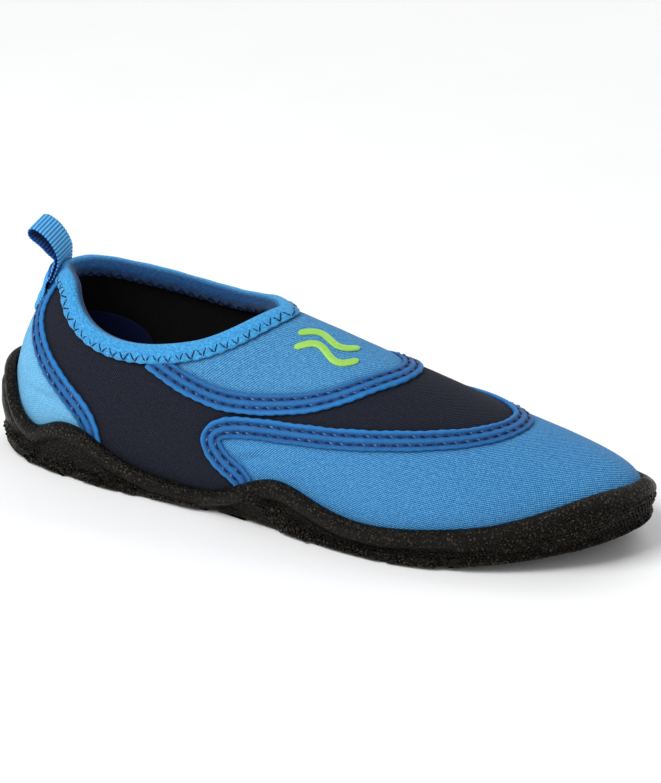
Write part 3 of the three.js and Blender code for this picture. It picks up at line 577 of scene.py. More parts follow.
def grosgrain(name, deep, light, inside):
    """Ribbed ribbon: ribs are in the mesh, a fine warp runs along it, with a painted highlight on
    the rib tops and painted shade on its inside.
    """
    m = Nodes(name, Roughness=0.5, Sheen_Weight=0.04, Sheen_Roughness=0.35,
              Specular_IOR_Level=0.15)
    flat = m.attribute("cloth")
    warp = m.bands(flat, 0.42, 90, 0.4)
    weft = m.bands(flat, RIB_PITCH / 2, 0, 0.2)
    crown = m.attribute("crown", "Fac")
    nap = m.noise(m.place(), 2.5, 3.0)
    # Painted highlight: crown lightens the tops of the ribs.
    shade = m.plus(m.times(crown, 0.85), m.span(warp, -0.15, 0.2), True)
    colour = m.mix(shade, rgb(deep), rgb(light))
    # Painted shade: seam marks the inner face of the loop, which gets a darker colour.
    colour = m.mix(m.attribute("seam", "Fac"), colour, m.mix(shade, rgb(deep, 0.3), rgb(inside)))
    height = m.plus(m.times(warp, 0.6), m.times(weft, 0.3))
    return m.finish(colour, m.span(nap, 0.45, 0.7), m.bump(height, 0.12, 0.7))


def rubber(name):
    """Moulded rubber: pebbles of two sizes, with painted highlights on their tops in patches and
    where it is proud.
    """
    m = Nodes(name, Roughness=0.42, Specular_IOR_Level=0.17, Specular_Tint=(1.0, 0.93, 0.84, 1))
    place = m.place()
    pebble = m.cells(place, 0.78)
    fine = m.cells(place, 1.6)
    lit = m.noise(place, 0.32, 3.0, 0.6)
    cloudy = m.noise(place, 0.09, 4.0)
    dust_and_glint = m.noise(place, 0.5, 5.0, 0.7)
    grain = m.attribute("grain", "Fac")
    proud = m.attribute("crown", "Fac")
    tops = m.minus(1.0, m.times(pebble, 1.7), True)
    small = m.minus(1.0, m.times(fine, 1.7), True)
    grains = m.plus(m.times(tops, 0.7), m.times(small, 0.35))
    colour = m.ramp(m.plus(m.times(dust_and_glint, 0.6), m.times(cloudy, 0.4)),
                    [(0.35, rgb("#020100")), (0.55, rgb("#060403")), (0.75, rgb("#130f0b"))])
    # Painted highlight: pebble tops go towards a light grey in patches, more where the rubber is
    # proud.
    bright = m.times(m.minus(tops, 0.3, True), m.span(lit, -0.8, 2.4), True)
    bright = m.times(bright, m.span(proud, 0.5, 1.8))
    bright = m.times(bright, m.span(dust_and_glint, -0.2, 1.6), True)
    colour = m.mix(bright, colour, rgb("#6c6558"))
    rough = m.plus(m.span(dust_and_glint, 0.2, 0.62), m.times(tops, -0.12))
    rough = m.minus(rough, m.times(proud, 0.12))
    normal = m.bump(m.times(grains, m.span(grain, 0.4, 1.0)), 1.3, 1.0)
    normal = m.bump(dust_and_glint, 0.3, 0.6, normal)
    return m.finish(colour, rough, normal)


def printed(name, deep, light):
    """A thick screen print, satin, with the cloth just showing through."""
    m = Nodes(name, Roughness=0.38)
    flat = m.attribute("cloth")
    courses = m.bands(flat, COURSE_PITCH, COURSE_ANGLE, 0.6)
    skin = m.noise(m.place(), 1.2, 3.0)
    colour = m.mix(m.span(skin, 0, 1), rgb(deep), rgb(light))
    normal = m.bump(courses, 0.05, 0.6)
    return m.finish(colour, m.span(skin, 0.3, 0.5), m.bump(skin, 0.1, 0.5, normal))


def foam(name):
    m = Nodes(name, Roughness=0.95, Sheen_Weight=0.15)
    place = m.place()
    pores = m.cells(place, 1.5)
    stains = m.noise(place, 0.12, 4.0)
    colour = m.mix(stains, rgb("#0d0c0a"), rgb("#1c1a17"))
    return m.finish(colour, m.span(pores, 0.8, 1.0), m.bump(pores, 0.3, 0.6))


TOE_BLUE = knit("toe_blue", "#175b98", "#66b4e4", sheen=0.16)
INSTEP_BLUE = knit("instep_blue", "#2268a0", "#6ab0da", sheen=0.14, mottle=1.15)
HEEL_BLUE = knit("heel_blue", "#4896cc", "#98dcf8")
NAVY = knit("navy", "#06070d", "#292d3f", sheen=0.12, tint="#7b8094")
TAPE = folded_tape("seam_tape", "#042d60", "#2a8fdc")
COLLAR_BLUE = soft_knit("collar_blue", "#2b84c2", "#62c0f2", depth=0.24, shadow="#123a72")
BLACK_KNIT = soft_knit("black_knit", "#040303", "#0f0d0a", sheen=0.03)
ROYAL_KNIT = soft_knit("royal_knit", "#081138", "#122360", sheen=0.05)
THREAD = thread("navy_thread", "#02061e", "#16307a")
TACK = thread("tack_thread", "#164f92", "#3b83cc")
ZIGZAG = thread("zigzag_thread", "#050d2c", "#1a2f66")
# The last colour is the painted shade of the ribbon's inner face.
RIBBON = grosgrain("ribbon", "#0d57ac", "#66cdfb", "#2c5db0")
RUBBER = rubber("rubber")
LIME = printed("lime_print", "#7cb440", "#9ed45c")
FOOTBED = foam("footbed")


# ---------------------------------------------------------------- meshes
def piece(name, points, faces, material, nodes, slot, body="shoe", sharp=40, **values):
    """One object in the row frame. values are per-point attributes: single numbers or vectors."""
    points = (np.asarray(points, float) - CENTRE) / 1000
    mesh = bpy.data.meshes.new(name)
    mesh.from_pydata(points.tolist(), [], [tuple(int(i) for i in f) for f in faces])
    mesh.update()
    for key, data in values.items():
        data = np.asarray(data, np.float32)
        kind = ("FLOAT", "value") if data.ndim == 1 else ("FLOAT_VECTOR", "vector")
        attribute = mesh.attributes.new(key, kind[0], "POINT")
        attribute.data.foreach_set(kind[1], data.ravel())
    mesh.materials.append(material)
    mesh.shade_smooth()
    if sharp:
        mesh.set_sharp_from_angle(angle=math.radians(sharp))
    obj = bpy.data.objects.new(name, mesh)
    bpy.context.scene.collection.objects.link(obj)
    if nodes:
        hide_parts(*([nodes] if isinstance(nodes, str) else nodes))
    if body:
        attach(obj, body)
    return obj


def tube_faces(rings, count, loop=False):
    """Quads between rings of count points each, closed at both ends unless the run is a loop."""
    faces = []
    last = rings if loop else rings - 1
    for i in range(last):
        a, b = i * count, (i + 1) % rings * count
        faces += [(a + j, b + j, b + (j + 1) % count, a + (j + 1) % count) for j in range(count)]
    if not loop:
        faces.append(tuple(range(count)))
        faces.append(tuple((rings - 1) * count + j for j in reversed(range(count))))
    return faces


def outward(points, faces):
    """The faces turned so that the closed mesh has a positive volume."""
    fans = [(f[0], f[k], f[k + 1]) for f in faces for k in range(1, len(f) - 1)]
    a, b, c = np.asarray(points)[np.array(fans)].transpose(1, 0, 2)
    return faces if (a * np.cross(b, c)).sum() > 0 else [tuple(reversed(f)) for f in faces]


def swept(name, rings, material, slot, nodes=None, loop=False, **values):
    """A piece whose rings of points are joined into one closed tube."""
    points = rings.reshape(-1, 3)
    faces = outward(points, tube_faces(*rings.shape[:2], loop=loop))
    return piece(name, points, faces, material, nodes or name, slot, **values)


# ---------------------------------------------------------------- sheets laid on the upper
def dome_sheet(count_t, count_v):
    """Places over the whole dome and quads between them; both sides share ridge, heel and toe."""
    size = (count_t + 1) * (count_v + 1)
    outer = np.arange(size).reshape(count_t + 1, count_v + 1)
    inner = outer.copy()
    inner[1:-1, :-1] = size + np.arange((count_t - 1) * count_v).reshape(count_t - 1, count_v)
    i, j = np.meshgrid(np.arange(count_t + 1), np.arange(count_v + 1), indexing="ij")
    t = np.r_[(i / count_t).ravel(), (i / count_t)[1:-1, :-1].ravel()]
    v = np.r_[(j / count_v).ravel(), (j / count_v)[1:-1, :-1].ravel()]
    side = np.r_[np.where((i == 0) | (i == count_t) | (j == count_v), 0, -1).ravel(),
                 np.ones((count_t - 1) * count_v)]
    faces = []
    for ids, turned in ((outer, False), (inner, True)):
        quads = np.stack([ids[:-1, :-1], ids[1:, :-1], ids[1:, 1:], ids[:-1, 1:]], -1)
        faces += [tuple(q[::-1] if turned else q) for q in quads.reshape(-1, 4).tolist()]
    return np.c_[t, v, side], faces


def keep(data, faces, value):
    """The part of a sheet where value, worked out from each place's data, is positive."""
    q = value(data)
    q = np.where(np.abs(q) < 0.05, 0, q)
    rows, cuts, kept = [], {}, []

    def cut(a, b):
        a, b = min(a, b), max(a, b)
        if (a, b) not in cuts:
            u = q[a] / (q[a] - q[b])
            row = data[a] + u * (data[b] - data[a])
            row[2] = data[a][2] or data[b][2]
            cuts[a, b] = len(data) + len(rows)
            rows.append(row)
        return cuts[a, b]

    for face in faces:
        signs = [q[k] for k in face]
        if min(signs) >= 0:
            if max(signs) > 0:
                kept.append(face)
            continue
        if max(signs) <= 0:
            continue
        loop = []
        for k in range(len(face)):
            a, b = face[k], face[(k + 1) % len(face)]
            if q[a] >= 0:
                loop.append(a)
            if q[a] * q[b] < 0:
                loop.append(cut(a, b))
        if len(loop) > 2:
            kept.append(tuple(loop))
    return (np.vstack([data, rows]) if rows else data), kept


def thicken(data, faces, high, low):
    """A closed solid from high, a function of the data, down to low.

    Returns points, faces and each point's row of data."""
    used = np.unique([k for f in faces for k in f])
    slot = np.full(len(data), -1)
    slot[used] = np.arange(len(used))
    d = data[used]
    top = raised(d[:, 0], d[:, 1], d[:, 2], high(d))
    bottom = raised(d[:, 0], d[:, 1], d[:, 2], np.full(len(d), low))
    n = len(used)
    upper = [tuple(slot[k] for k in f) for f in faces]
    edges = {(f[k], f[(k + 1) % len(f)]) for f in upper for k in range(len(f))}
    walls = [(b, a, n + a, n + b) for a, b in edges if (b, a) not in edges]
    lower = [tuple(n + k for k in reversed(f)) for f in upper]
    return np.vstack([top, bottom]), upper + lower + walls, np.vstack([d, d])


DOME, DOME_FACES = dome_sheet(260, 72)
fields = [distance(lines[k], DOME[:, 0], DOME[:, 1], DOME[:, 2])
          for k in ("collar", "toe", "instep", "heel")]
DOME = np.c_[DOME, np.stack([f[0] for f in fields], -1), np.stack([f[1] for f in fields[1:]], -1)]
COL, TOE, INSTEP, HEEL = 3, 4, 5, 6          # columns of signed distance; 7, 8, 9 are run lengths


def crease(points, a, b, width, depth):
    """Depth of a soft fold along a line from a to b, both [x, z] seen from the side."""
    u, away = (q[:, 0] for q in from_segments(points[:, [0, 2]], np.array([a, b], float)))
    fade = np.sin(np.pi * np.clip(u * 0.8 + 0.1, 0, 1))
    return depth * np.exp(-(away / width) ** 2) * fade


def cloth_height(d):
    """The neoprene swells between the seams and is drawn in along them, with small puckers."""
    height = np.zeros(len(d))
    for column, length in ((TOE, 7), (INSTEP, 8), (HEEL, 9)):
        away = np.abs(d[:, column])
        height -= 0.5 * np.exp(-(np.maximum(away - 3, 0) / 3.0) ** 2)
        ripple = np.sin(2 * np.pi * d[:, length] / STITCH_PITCH)
        height += 0.11 * ripple * np.exp(-(np.maximum(away - 4, 0) / 2.4) ** 2)
    height -= 0.45 * np.exp(-(np.maximum(np.abs(d[:, COL]) - 5.6, 0) / 2.5) ** 2)
    p = surface(d[:, 0], d[:, 1], d[:, 2])
    wave = np.sin(p[:, 0] * 0.11 + p[:, 2] * 0.07) * np.sin(p[:, 1] * 0.09 - p[:, 2] * 0.05 + 1)
    height += 0.25 * wave * smooth(4, 20, np.abs(d[:, [TOE, INSTEP, HEEL]]).min(1))
    outer = np.where(d[:, 2] <= 0, 1.0, 0.0)
    height += outer * crease(p, (13, 32), (31, 30), 1.5, 1.1)
    height -= outer * crease(p, (13, 29.5), (31, 27.5), 1.6, 0.9)
    height += outer * crease(p, (107, 26), (119, 30), 1.5, 1.0)
    height -= outer * crease(p, (107, 23.5), (121, 27), 1.6, 0.8)
    return height


def panel(name, material, slot, *tests):
    data, faces = DOME, DOME_FACES
    for test in (lambda d: -d[:, COL] - 0.7, *tests):
        data, faces = keep(data, faces, test)
    points, faces, d = thicken(data, faces, cloth_height, -PANEL)
    near = np.abs(d[:, [TOE, INSTEP, HEEL]]).min(1)
    edge = np.minimum(near - 4.1, np.abs(d[:, COL]) - 6.3)
    # seam marks where the panel meets a tape or the collar binding, for the painted shade there.
    seam = np.exp(-np.maximum(edge, 0) / 0.7)
    return piece(name, points, faces, material, name, slot, sharp=50,
                 cloth=cloth(d[:, 0], d[:, 1], d[:, 2]), seam=seam)


def clear_of(column, sign):
    """A test for places on one side of a seam line, clear of it by half the gap."""
    return lambda d: sign * d[:, column] - GAP / 2


panel("toe_panel", TOE_BLUE, "blue_neoprene", clear_of(TOE, -1))
panel("instep_panel", INSTEP_BLUE, "blue_neoprene", clear_of(TOE, 1), clear_of(INSTEP, 1))
panel("heel_panel", HEEL_BLUE, "pale_blue_neoprene", clear_of(TOE, 1), clear_of(INSTEP, -1),
      clear_of(HEEL, 1))
panel("side_panel", NAVY, "navy_neoprene", clear_of(TOE, 1), clear_of(INSTEP, -1),
      clear_of(HEEL, -1))


def layer(name, material, slot, high, low, *tests):
    data, faces = DOME, DOME_FACES
    for test in tests:
        data, faces = keep(data, faces, test)

    def top(d):
        p = surface(d[:, 0], d[:, 1], d[:, 2])
        return high + 0.12 * np.sin(p[:, 0] * 0.23 + 1.7 * np.sin(p[:, 2] * 0.17))
    points, faces, d = thicken(data, faces, top, low)
    return piece(name, points, faces, material, name, slot, sharp=50,
                 cloth=cloth(d[:, 0], d[:, 1], d[:, 2]))


LINING_TOP = -PANEL - GAP
layer("lining_sock", BLACK_KNIT, "black_knit", LINING_TOP - 0.12, LINING_TOP - LINING,
      lambda d: -d[:, COL] - 0.7)
PATCH_TOP = LINING_TOP - LINING - 0.5
layer("heel_lining_patch", ROYAL_KNIT, "royal_knit", PATCH_TOP - 0.12, PATCH_TOP - 0.7,
      lambda d: (d[:, 1] - 0.11) * V_SPAN,
      lambda d: (1 - (d[:, 0] / 0.272) ** 6 - (d[:, 1] / 0.41) ** 6) * 10)


# ---------------------------------------------------------------- bands swept along the upper
def crossways(run, loop=False):
    """Unit direction across a run at each place, in the surface, to the left of travel."""
    if loop:
        tangent = np.roll(run.at, -1, 0) - np.roll(run.at, 1, 0)
    else:
        tangent = np.gradient(run.at, axis=0)
    return unit(np.cross(slopes(run.t, run.v, run.side)[2], unit(tangent)))


def beside(run, cross, reach):
    """The places a distance across from each place of a run."""
    reach = np.broadcast_to(reach, len(run))
    steps = max(1, math.ceil(np.abs(reach).max() / 3))
    here = run
    for k in range(1, steps + 1):
        here = nearest(run.at + cross * (reach * k / steps)[:, None], here, 4)
    return here


def band_points(run, reaches, heights, loop=False):
    """Rings of points: reaches and heights have a row for each place or are the same for all."""
    cross = crossways(run, loop)
    reaches = np.broadcast_to(reaches, (len(run), np.shape(reaches)[-1]))
    heights = np.broadcast_to(heights, reaches.shape)
    rings = []
    for j in range(reaches.shape[1]):
        p = beside(run, cross, reaches[:, j])
        rings.append(raised(p.t, p.v, p.side, heights[:, j]))
    return np.stack(rings, 1)


def across(line, step):
    return resample(join(line[-1], line[1][:-1][::-1]), step)


def visible(run, collar_margin, rim_margin):
    """The part of a run between the rubber rim and the collar, with margins."""
    away = -distance(lines["collar"], run.t, run.v, run.side)[0]
    rim = by_side(RIM, run.side, run.t)
    return run[(away > collar_margin) & (run.v > rim + rim_margin)]


TAPE_PROFILE = np.array([
    [0.0, 0.1], [0.12, 0.45], [0.5, 0.66], [1.2, 0.74], [1.75, 0.68], [2.2, 0.42], [2.65, 0.72],
    [3.2, 0.92], [3.85, 1.0], [4.5, 0.92], [5.05, 0.72], [5.5, 0.42], [5.95, 0.86], [6.5, 1.22],
    [7.1, 1.34], [7.65, 1.18], [8.05, 0.72], [8.2, 0.2], [7.9, -0.5], [4.1, -0.5], [0.3, -0.5]])
# How much painted highlight each point of the tape profile gets, none in the sewn grooves.
TAPE_PAINTED_LIGHT = np.array([0.3, 0.6, 0.65, 0.45, 0.2, 0, 0.25, 0.5, 0.65, 0.55, 0.3, 0, 0.25, 0.5, 0.8,
                       1, 0.9, 0.3, 0, 0, 0])


def seam_tape(name, run, navy):
    """A folded tape with two sewn grooves. navy is +1 where the navy side is to the left."""
    run = resample(visible(run, 3.6, -0.05), 0.72)
    s = run.lengths()[:, None]
    u, h = TAPE_PROFILE.T
    sewn = np.cos(2 * np.pi * s / STITCH_PITCH)
    near_row = np.maximum(hump(u, 2.2, 1.3), hump(u, 5.5, 1.3))[None]
    heights = h[None] - 0.13 * sewn * near_row * (h > -0.4)
    edge = (hump(u, 8.2, 1.6) - hump(u, 0, 1.2))[None]
    reaches = navy * (u[None] - TAPE_WIDTH / 2 - 0.14 * sewn * edge
                      + 0.1 * np.sin(s * 0.37 + u[None]) * edge)
    # The tape thins where it runs under the collar binding.
    away = -distance(lines["collar"], run.t, run.v, run.side)[0][:, None]
    heights = heights * smooth(1.5, 7.5, away)
    swept(f"{name}_tape", band_points(run, reaches, heights), TAPE, "seam_tape", sharp=0,
          cloth=stack(s, u[None], 0.0).reshape(-1, 3), crown=np.tile(TAPE_PAINTED_LIGHT, len(run)))


def twisted_stitch(path, normals, strand=0.3, offset=0.22, turns=1.4, sides=STRAND_SIDES):
    """Points and faces of one two-ply stitch along a short path of points."""
    tangent = unit(np.gradient(path, axis=0))
    binormal = unit(np.cross(tangent, normals))
    up = np.cross(binormal, tangent)
    n = len(path)
    radius = np.full(n, strand)
    radius[[0, -1]] *= 0.7

    def turned(a):
        return np.cos(a)[..., None] * up[:, None] + np.sin(a)[..., None] * binormal[:, None]
    section = turned(np.tile(np.arange(sides) * 2 * np.pi / sides, (n, 1)))
    plies = []
    for ply in (0, np.pi):
        a = ply + 2 * np.pi * turns * np.linspace(0, 1, n)[:, None]
        ring = path[:, None] + offset * turned(a) + radius[:, None, None] * section
        plies.append((ring.reshape(-1, 3), tube_faces(n, sides)))
    return gather(plies)


def gather(parts):
    """Several (points, faces) as one."""
    points, faces, first = [], [], 0
    for p, f in parts:
        points.append(p)
        faces += [tuple(k + first for k in face) for face in f]
        first += len(p)
    return np.vstack(points), faces


def stitch_row(name, run, reach):
    """A row of separate stitches sunk in the tape's groove, each arched out of its two holes."""
    run = resample(visible(run, 5.9, 0.03), STITCH_PITCH / 12)
    row = beside(run, crossways(run), reach)
    s = row.lengths()
    normal = slopes(row.t, row.v, row.side)[2]
    parts = []
    for k in range(int(s[-1] / STITCH_PITCH)):
        start = (k + 0.12) * STITCH_PITCH
        q = np.linspace(start, start + STITCH_LENGTH * rng.uniform(0.94, 1.04), STITCH_POINTS)
        base = np.stack([np.interp(q, s, row.at[:, j]) for j in range(3)], -1)
        n = unit(np.stack([np.interp(q, s, normal[:, j]) for j in range(3)], -1))
        ends = np.linspace(-1, 1, STITCH_POINTS)
        arch = 0.82 * (1 - np.abs(ends) ** 3 * 1.1) + rng.uniform(-0.05, 0.05)
        sway = np.cross(n, unit(np.gradient(base, axis=0)))
        sway = sway * (rng.uniform(-0.12, 0.12) + 0.16 * ends)[:, None]
        parts.append(twisted_stitch(base + n * arch[:, None] + sway, n))
    points, faces = gather(parts)
    # One ply catches the light where it comes round at the end of each stitch.
    glint = np.repeat(smooth(0.5, 0.8, np.linspace(0, 1, STITCH_POINTS)), STRAND_SIDES)
    glint = np.r_[glint, 0 * glint]
    glint = (glint * rng.uniform(0.1, 1.0, (len(parts), 1))).ravel()
    piece(name, points, faces, THREAD, name, "navy_thread", sharp=0, crown=glint)


def seam(name, run, navy, rows):
    """A tape and its two rows of stitches; rows names the row on the panel side first."""
    seam_tape(name, run, navy)
    for row, reach in zip(rows, ROWS):
        stitch_row(row, run, navy * reach)


seam("toe_seam", across(lines["toe"], 1.5), 1, ("toe_stitch_lower", "toe_stitch_upper"))
seam("instep_seam", across(lines["instep"], 1.5), -1,
     ("instep_stitch_upper", "instep_stitch_lower"))
seam("heel_seam_lateral", lines["heel"][-1], -1,
     ("heel_stitch_lateral_rear", "heel_stitch_lateral_front"))
seam("heel_seam_medial", lines["heel"][1], 1,
     ("heel_stitch_medial_rear", "heel_stitch_medial_front"))


# ---------------------------------------------------------------- collar binding and its zigzag
rim_loop = resample(join(lines["collar"][-1], lines["collar"][1][1:-1][::-1]), RIM_STEP,
                    True)
INSIDE = PATCH_TOP - 0.1
BINDING = np.array([
    [-6.1, 0.3], [-6.25, 0.7], [-6.0, 1.1], [-5.4, 1.36], [-4.5, 1.5], [-3.4, 1.6], [-2.2, 1.68],
    [-1.0, 1.7], [0.0, 1.5], [0.8, 1.05], [1.25, 0.3], [1.45, -0.7], [1.5, -2.0], [1.4, -3.2],
    [1.05, -4.2], [0.4, INSIDE - 0.8], [-0.7, INSIDE - 1.0], [-2.0, INSIDE - 1.1],
    [-3.5, INSIDE - 1.1], [-4.6, INSIDE - 1.0], [-5.15, INSIDE - 0.7], [-5.1, INSIDE - 0.2],
    [-4.4, INSIDE], [-1.5, INSIDE], [0.2, INSIDE + 0.3], [0.35, -2.0], [0.3, 0.1], [-0.8, 0.3],
    [-3.6, 0.3]])
ZIG_OUT, ZIG_IN = (-5.5, -2.3), (-4.6, -1.6)


def binding():
    s = rim_loop.lengths()
    total = s[-1] + RIM_STEP
    pitch = total / round(total / STITCH_PITCH)
    phase = (2 * np.pi * s / pitch)[:, None]
    w, h = BINDING.T
    outer = hump(w, -6.0, 2.2)[None] * (h > 0.2)
    dent = hump(w, -5.5, 1.5)[None] * (h > 0.5) * hump((s % pitch)[:, None], 0, pitch * 0.3)
    inner = hump(w, -5.0, 1.8)[None] * (h < -3)
    reaches = w[None] + 0.2 * np.cos(phase) * outer + 0.28 * np.cos(phase) * inner
    swell = 0.1 * np.sin(s * 0.21)[:, None] + 0.07 * np.sin(s * 0.53 + 1)[:, None]
    heights = h[None] - 0.32 * dent + np.where(h > 0.5, swell, 0)
    heights = heights + 0.12 * np.sin(phase * 0.5 + w[None]) * (h < INSIDE - 0.3)
    # crown marks where the binding turns in, for the painted shade there.
    swept("collar_binding", band_points(rim_loop, reaches, heights, True), COLLAR_BLUE,
          "collar_elastic", loop=True, sharp=0,
          cloth=stack(s[:, None], lengths(BINDING)[None], 0.0).reshape(-1, 3),
          crown=np.tile(smooth(0.6, -1.6, h), len(s)))
    return pitch


def zigzag(pitch):
    """Stitches going back and forth along the binding's two edges, outside and inside."""
    total = round((rim_loop.lengths()[-1] + RIM_STEP) / pitch) * 2
    cross = crossways(rim_loop, True)
    count = STITCH_POINTS
    q = (np.arange(total)[:, None] + np.linspace(0.06, 0.94, count)) * len(rim_loop) / total
    i = np.floor(q).astype(int).ravel() % len(rim_loop)
    j = (i + 1) % len(rim_loop)
    f = (q.ravel() % 1)[:, None]
    here = nearest(rim_loop.at[i] * (1 - f) + rim_loop.at[j] * f, rim_loop[i])
    cross = unit(cross[i] * (1 - f) + cross[j] * f)
    sway = np.linspace(0, 1, count)
    parts = []
    for (low, high), lift in ((ZIG_OUT, 1.36), (ZIG_IN, INSIDE - 1.35)):
        sign = 1 if lift > 0 else -1
        up = low + (high - low) * sway
        reach = np.where(np.arange(total)[:, None] % 2 == 0, up, up[::-1])
        reach = reach + rng.uniform(-0.25, 0.25, (total, 1))
        place = beside(here, cross, reach.ravel())
        bow = sign * (0.16 - 0.62 * np.abs(2 * sway - 1) ** 4)
        bow = bow + rng.uniform(-0.08, 0.08, (total, 1))
        points = raised(place.t, place.v, place.side, (lift + bow).ravel())
        normal = sign * slopes(place.t, place.v, place.side)[2]
        for k in range(total):
            leg = slice(k * count, (k + 1) * count)
            parts.append(twisted_stitch(points[leg], normal[leg], 0.19, 0.13, 1.0, 5))
    points, faces = gather(parts)
    piece("collar_zigzag_stitch", points, faces, ZIGZAG, "collar_zigzag_stitch", "navy_thread",
          sharp=0)


zigzag(binding())


# ---------------------------------------------------------------- raised print on the instep
def print_bar(name, t0, v0, length, amplitude):
    u = np.linspace(0, 1, 60)
    run = resample(Run(t0 + length * u, v0 + amplitude * np.sin(u * 2 * np.pi) + 0.1 * u, -1), 0.5)
    s = run.lengths()
    taper = np.sqrt(np.clip(1 - (np.abs(s / s[-1] - 0.5) * 2) ** 14, 0.02, 1))[:, None]
    w = np.array([-1.5, -1.42, -1.2, -0.6, 0, 0.6, 1.2, 1.42, 1.5, 1.2, 0, -1.2])
    h = np.array([0.2, 0.5, 0.62, 0.68, 0.7, 0.68, 0.62, 0.5, 0.2, -0.2, -0.2, -0.2])
    flat = cloth(run.t, run.v, run.side)[:, None] + stack(0, w, 0)[None]
    swept(name, band_points(run, w[None] * taper, h), LIME, "lime_print", sharp=60,
          cloth=flat.reshape(-1, 3))


print_bar("print_wave_lower", 0.452, 0.76, 0.075, 0.045)
print_bar("print_wave_upper", 0.445, 0.85, 0.075, 0.04)


# ---------------------------------------------------------------- insole board and footbed
def plate(name, material, slot, inset, low, high, crown):
    """A plate inside the sole edge, cupped at its rim, with rounded edges."""
    t = np.linspace(0.012, 0.988, 110)
    u = np.sin(np.linspace(-1, 1, 29) * np.pi / 2)
    edges = []
    for side in (-1, 1):
        x, y = plan(t, side)
        nx, ny = plan_normal(t, side)
        edges.append(stack(x - nx * inset, y - ny * inset, feather_z(x)))
    mix = ((u + 1) / 2)[None, :, None]
    base = edges[0][:, None] * (1 - mix) + edges[1][:, None] * mix
    x, y = base[..., 0], base[..., 1]
    cup = crown * np.abs(u)[None] ** 3 + 0.5 * np.sin(x * 0.05) * (1 - u[None] ** 2)
    heel = -0.9 * hump(x, 38, 32) * (1 - u[None] ** 2)
    arch = 1.6 * hump(x, 105, 45) * smooth(0.2, 1.0, u[None])
    rounded = -0.5 * (np.abs(u)[None] > 0.99)
    top = base + stack(0, 0, high + cup * 0.5 + heel + arch + rounded)
    bottom = base + [0, 0, low]
    n, k = x.shape
    rings = np.concatenate([top, bottom[:, ::-1]], 1)
    faces = tube_faces(n, 2 * k)[:-2]
    for i, turn in ((0, False), (n - 1, True)):
        for j in range(k - 1):
            a = i * 2 * k
            quad = (a + j, a + j + 1, a + 2 * k - 2 - j, a + 2 * k - 1 - j)
            faces.append(tuple(reversed(quad)) if turn else quad)
    points = rings.reshape(-1, 3)
    return piece(name, points, outward(points, faces), material, name, slot, sharp=50,
                 cloth=points)


plate("insole_board", FOOTBED, "black_knit", 4.4, 0.2, 2.0, 0)
plate("footbed", FOOTBED, "footbed_foam", 5.2, 2.3, 5.6, 2.4)


# ---------------------------------------------------------------- rubber outsole
LIP = np.array([  # from inside the cup over the rolled rim: distance below the rim, distance out
    [2.2, 0.5], [0.8, 0.5], [0.0, 0.75], [-0.38, 1.35], [-0.42, 2.1], [-0.15, 2.9], [0.4, 3.6],
    [1.2, 4.25], [2.1, 4.65], [3.0, 4.8], [3.9, 4.75], [4.7, 4.55]])
WALL_ROWS = 46
STUD_PITCH, STUD_SIDES = 1.6, 8
# Raised lugs on the outer face of the wall: [x, z] centre line, half width, height.
LUGS = [
    ([(113, 15), (118, 11), (128, 5), (139, 1.5)], 3.0, 1.5),
    ([(33, 4), (36, 3.5)], 2.0, 1.2),
    ([(62, 2), (65, 2)], 1.8, 1.0),
    ([(158, 4), (161, 4)], 1.8, 1.0),
    ([(200, 6), (212, 8), (226, 12), (240, 18), (252, 24)], 3.6, 0.8),
    ([(176, 1), (190, 2)], 2.2, 0.9),
    ([(142, 1), (170, 1)], 1.6, 0.8),
    ([(4, 8), (10, 5), (20, 2.5), (30, 1)], 2.6, 0.8),
    ([(45, 1), (56, 0.8)], 2.0, 0.9),
    ([(74, 0.8), (92, 0.8)], 1.8, 0.8),
]


def lug_mask(points, line, radius):
    """1 on a lug and 0 away from it, with a steep rounded side."""
    away = from_segments(points[..., [0, 2]], np.array(line, float))[1].min(-1)
    return 1 - smooth(radius - 0.5, radius + 0.4, away)


def even_places(step):
    """Values of t that space both sides of the sole edge evenly."""
    t = np.linspace(0, 1, 3000)
    s = 0
    for side in (-1, 1):
        s = s + lengths(np.stack(plan(t, side), -1)) / 2
    return np.interp(np.linspace(0, s[-1], round(s[-1] / step) + 1), s, t)


SPINE_ROWS, DROP_ROWS = 44, 15


def spines(t, side):
    """Lines down the wall from above the rim to the ground.

    Returns their points, outward directions, and how far below the rim each point is."""
    top = by_side(RIM, side, t)
    v = (top + 0.03)[:, None] * np.linspace(1, 0, SPINE_ROWS)[None]
    tt, ss = np.broadcast_to(t[:, None], v.shape), np.broadcast_to(side[:, None], v.shape)
    p = surface(tt, v, ss)
    n = slopes(tt, v, ss)[2]
    foot = p[:, -1]
    drop = np.linspace(0, 1, DROP_ROWS + 1)[1:, None]
    z_end = ground(foot[:, 0]) + 0.9 + 1.3 * hump(foot[:, 0], ARCH_X, 46)
    below = np.repeat(foot[:, None], DROP_ROWS, 1)
    below[..., 2] += (z_end - foot[:, 2])[:, None] * drop[:, 0]
    nx, ny = plan_normal(t, side)
    level = stack(nx, ny, 0 * nx)
    turn = smooth(0, 0.6, drop[:, 0])[None, :, None]
    n_below = unit(n[:, -1:] * (1 - turn) + level[:, None] * turn)
    p, n = np.concatenate([p, below], 1), np.concatenate([n, n_below], 1)
    s = np.concatenate([np.zeros((len(t), 1)),
                        np.cumsum(np.linalg.norm(np.diff(p, axis=1), axis=-1), 1)], 1)
    zero = np.array([np.interp(-top[i], -v[i], s[i, :SPINE_ROWS]) for i in range(len(t))])
    return p, n, s - zero[:, None]


